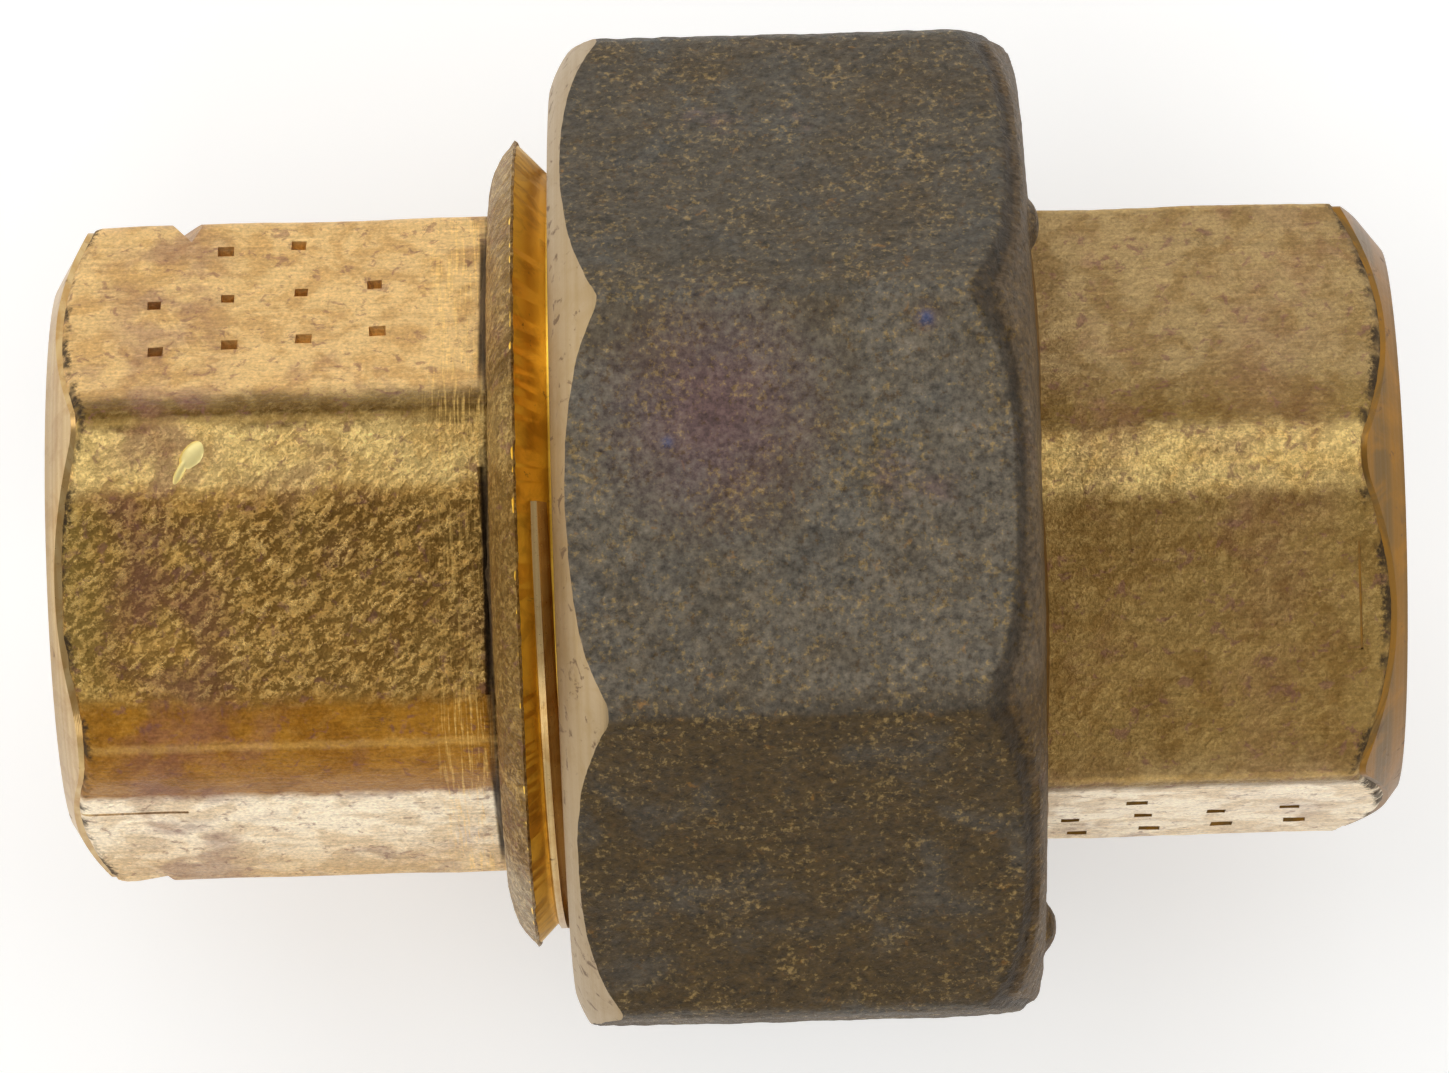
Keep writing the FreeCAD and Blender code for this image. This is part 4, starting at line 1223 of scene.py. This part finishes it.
class UNION_OT_union_nut(bpy.types.Operator):
    """Build the cast eight-sided nut with its turned chamfer, thread and lip"""
    bl_idname = "pipe_union.union_nut"
    bl_label = "Union Nut"

    def execute(self, context):
        size = context.scene.union_sizes
        finish = context.scene.union_finish
        left = NUT_LOW.x
        right = NUT_HIGH.x - PIP_HEIGHT
        rim = right - 0.3 * MM
        skin_material = cast_bronze("cast_bronze", rim, size, finish)
        turned_material = turned_metal("turned_bronze", finish.nut_chamfer, finish.khaki, 0.26, 0.16, 0.45,
                                       finish)
        bore_material = turned_metal("bored_bronze", finish.bored, finish.orange, 0.15, 0.15, 0.34, finish)
        materials = [skin_material, turned_material, bore_material]

        skin = self.cast_body(size, left, rim, right, materials)
        combine(skin, self.chamfer_tool(size, left, materials), "DIFFERENCE")
        self.cut_bore_and_thread(skin, size, left, right, materials)
        finish_piece(skin, "union_nut_bronze", "union_nut", "union_nut")
        return {"FINISHED"}

    def cast_body(self, size, left, rim, right, materials):
        """The rough octagon, a smaller core that shows past its right end, and three cast pips."""
        reach = size.nut_flats
        corners = [size.nut_corner] * NUT_SIDES
        top = size.nut_face + SHOULDER_ROUNDING * 0.95
        roll = rim - SHOULDER_ROUNDING + math.sqrt(SHOULDER_ROUNDING ** 2 - (top - size.nut_face) ** 2)
        outside = left - 2 * MM
        shoulder = [(outside, 0), (outside, reach), (roll - (reach - top), reach), (roll, top),
                    *arc((roll, top), (rim, size.nut_face), SHOULDER_ROUNDING, 1, 8),
                    (rim, size.nut_face), (right, size.lip_bore), (right, 0)]
        flat_end = [(along if radius < size.nut_face else along - CORE_SHOWS, radius)
                    for along, radius in shoulder]
        skin = prism("nut_octagon", NUT_SIDES, size.nut_flats, left - MM, right, 0.0, corners, materials)
        combine(skin, turned("flat_end", flat_end, materials, SKIN), "INTERSECT")
        core = prism("nut_core", NUT_SIDES, size.nut_flats - 2 * CORE_STEP, left + 6 * MM, right, 0.0,
                     corners, materials)
        combine(core, turned("cast_shoulder", shoulder, materials, SKIN), "INTERSECT")
        combine(skin, core, "UNION")
        for count in range(PIPS):
            turn = math.radians(PIP_TURN + 360 / PIPS * count)
            select_none()
            bpy.ops.mesh.primitive_uv_sphere_add(segments=32, ring_count=16, radius=PIP_RADIUS, location=(
                rim, PIP_CIRCLE * math.sin(turn), PIP_CIRCLE * math.cos(turn)))
            pip = bpy.context.object
            pip.scale = ((NUT_HIGH.x - rim) / PIP_RADIUS, 1.0, 1.0)
            apply_place(pip)
            set_finish(pip, materials, SKIN)
            combine(skin, pip, "UNION")
        remesh(skin, size.cast_voxel)
        roughen(skin, "CLOUDS", 0.7 * MM, 0.12 * MM, noise_depth=3)
        roughen(skin, "CLOUDS", 5.0 * MM, 0.22 * MM, noise_depth=2)
        return skin

    def chamfer_tool(self, size, left, materials):
        """What the lathe takes off the nut's left end: a flat face and a bulging chamfer."""
        front = (left, size.nut_front)
        side = (left + 2.3 * MM, 24.2 * MM)
        tool_end = left + 4.5 * MM
        outside = left - 5 * MM
        return turned("turned_chamfer", [
            (left, 0), front, *arc(front, side, 5.5 * MM, 1, 14), side, (tool_end, 25.2 * MM),
            (tool_end, size.nut_flats), (outside, size.nut_flats), (outside, 0)], materials)

    def cut_bore_and_thread(self, skin, size, left, right, materials):
        """Cuts the bore, its relief before the lip, and the thread that mates with the collar."""
        minor = size.thread_root + size.thread_gap
        major = size.thread_top + size.thread_gap
        lip_left = THREADED_HIGH.x + SHOULDER_START + SHOULDER_LENGTH + LIP_GAP
        relief_radius = major + 0.25 * MM
        relief_left = lip_left - 4.4 * MM
        lead = 0.9 * MM
        outside = left - MM
        past_lip = right + 3 * MM
        combine(skin, turned("nut_bore", [
            (outside, 0), (outside, minor + lead + MM), (left + lead, minor), (relief_left, minor),
            (relief_left, relief_radius), (lip_left, relief_radius), (lip_left, size.lip_bore),
            (past_lip, size.lip_bore), (past_lip, 0)], materials, BORE, 240), "DIFFERENCE")
        first_crest = THREADED_LOW.x + size.threaded_hex + size.thread_start
        first_groove = first_crest - 2 * size.thread_pitch
        turns = (relief_left - first_groove) / size.thread_pitch + 0.7
        section = thread_section(size, first_groove, minor - OVERLAP, major, size.thread_gap * 0.5)
        groove = coil("nut_thread", section, size.start_turn, turns, size.thread_pitch, materials, BORE)
        combine(skin, groove, "DIFFERENCE")


# ---------------------------------------------------------------- stage

def soft_light(name, place, width, height, power, target):
    """A square softbox that faces a point."""
    light = bpy.data.lights.new(name, "AREA")
    light.shape = "RECTANGLE"
    light.size = width
    light.size_y = height
    light.energy = power
    lamp = bpy.data.objects.new(name, light)
    bpy.context.scene.collection.objects.link(lamp)
    lamp.location = place
    lamp.rotation_euler = (Vector(target) - Vector(place)).to_track_quat("-Z", "Y").to_euler()
    return lamp


class UNION_OT_stage(bpy.types.Operator):
    """Build the pale floor, the soft lights and the camera"""
    bl_idname = "pipe_union.stage"
    bl_label = "Stage"

    def execute(self, context):
        studio = context.scene.union_studio
        select_none()
        bpy.ops.mesh.primitive_plane_add(size=studio.floor_size, location=(0, 0, CAD_BOX[0][2]))
        floor = context.object
        floor.name = "floor"
        apply_place(floor)
        material = bpy.data.materials.new("pale_table")
        material.use_nodes = True
        shader = material.node_tree.nodes["Principled BSDF"]
        shader.inputs["Base Color"].default_value = (*studio.floor_colour, 1.0)
        shader.inputs["Roughness"].default_value = 0.9
        shader.inputs["Emission Color"].default_value = (1.0, 1.0, 1.0, 1.0)
        shader.inputs["Emission Strength"].default_value = studio.floor_glow
        floor.data.materials.append(material)
        self.build_camera(context, studio)
        self.build_lights(context)
        return {"FINISHED"}

    def build_camera(self, context, studio):
        towards = Vector((-math.sin(studio.yaw), -math.sin(studio.tilt), math.cos(studio.tilt))).normalized()
        along = (Vector((1, 0, 0)) - towards * towards.x).normalized()
        upwards = towards.cross(along)
        right = along * math.cos(studio.roll) - upwards * math.sin(studio.roll)
        top = along * math.sin(studio.roll) + upwards * math.cos(studio.roll)
        data = bpy.data.cameras.new("camera")
        data.lens = studio.lens
        data.clip_start = 0.01
        camera = bpy.data.objects.new("camera", data)
        context.scene.collection.objects.link(camera)
        turn = Matrix((right, top, towards)).transposed().to_4x4()
        place = towards * studio.distance + Vector((-studio.slide, studio.rise, 0))
        camera.matrix_world = Matrix.Translation(place) @ turn
        context.scene.camera = camera

    def build_lights(self, context):
        context.scene.view_settings.view_transform = "Standard"
        world = bpy.data.worlds.new("studio")
        world.use_nodes = True
        context.scene.world = world
        graph = Graph(world.node_tree)
        world.node_tree.nodes.clear()
        direction = graph.add("ShaderNodeTexCoord").outputs["Generated"]
        height = graph.add("ShaderNodeSeparateXYZ", {"Vector": direction}).outputs["Z"]
        shade = graph.ramp(height, [(0.0, 0.9), (0.3, 0.55), (0.75, 0.34), (0.92, 0.42), (1.0, 0.5)])
        background = graph.add("ShaderNodeBackground", {"Color": shade, "Strength": 1.0})
        output = graph.add("ShaderNodeOutputWorld")
        world.node_tree.links.new(background.outputs[0], output.inputs["Surface"])
        middle = (0, 0, 0)
        soft_light("back_softbox", (0.0, 0.55, 0.38), 0.9, 0.25, 1.7, middle)
        soft_light("left_softbox", (-0.60, 0.05, 0.30), 0.5, 0.4, 1.8, middle)
        soft_light("front_softbox", (0.1, -0.60, 0.45), 0.7, 0.25, 1.0, middle)
        soft_light("right_softbox", (0.60, 0.05, 0.35), 0.5, 0.4, 1.2, middle)


# ---------------------------------------------------------------- panel and run

class UNION_PT_panel(bpy.types.Panel):
    """Pipe union tools in the sidebar of the 3D view"""
    bl_idname = "UNION_PT_panel"
    bl_label = "Pipe Union"
    bl_space_type = "VIEW_3D"
    bl_region_type = "UI"
    bl_category = "Pipe Union"

    def draw(self, context):
        layout = self.layout
        for operator in OPERATORS:
            layout.operator(operator.bl_idname)
        for settings in (context.scene.union_sizes, context.scene.union_finish, context.scene.union_studio):
            box = layout.box()
            for name in settings.__annotations__:
                box.prop(settings, name)


OPERATORS = (UNION_OT_stage, UNION_OT_threaded_end, UNION_OT_tail_end, UNION_OT_union_nut)
CLASSES = (UnionSizes, UnionFinish, StudioSettings, *OPERATORS, UNION_PT_panel)


def register():
    for item in CLASSES:
        bpy.utils.register_class(item)
    bpy.types.Scene.union_sizes = bpy.props.PointerProperty(type=UnionSizes)
    bpy.types.Scene.union_finish = bpy.props.PointerProperty(type=UnionFinish)
    bpy.types.Scene.union_studio = bpy.props.PointerProperty(type=StudioSettings)


def unregister():
    del bpy.types.Scene.union_studio
    del bpy.types.Scene.union_finish
    del bpy.types.Scene.union_sizes
    for item in reversed(CLASSES):
        bpy.utils.unregister_class(item)


def main():
    register()
    bpy.ops.pipe_union.stage()
    bpy.ops.pipe_union.threaded_end()
    bpy.ops.pipe_union.tail_end()
    bpy.ops.pipe_union.union_nut()


if __name__ == "__main__":
    main()
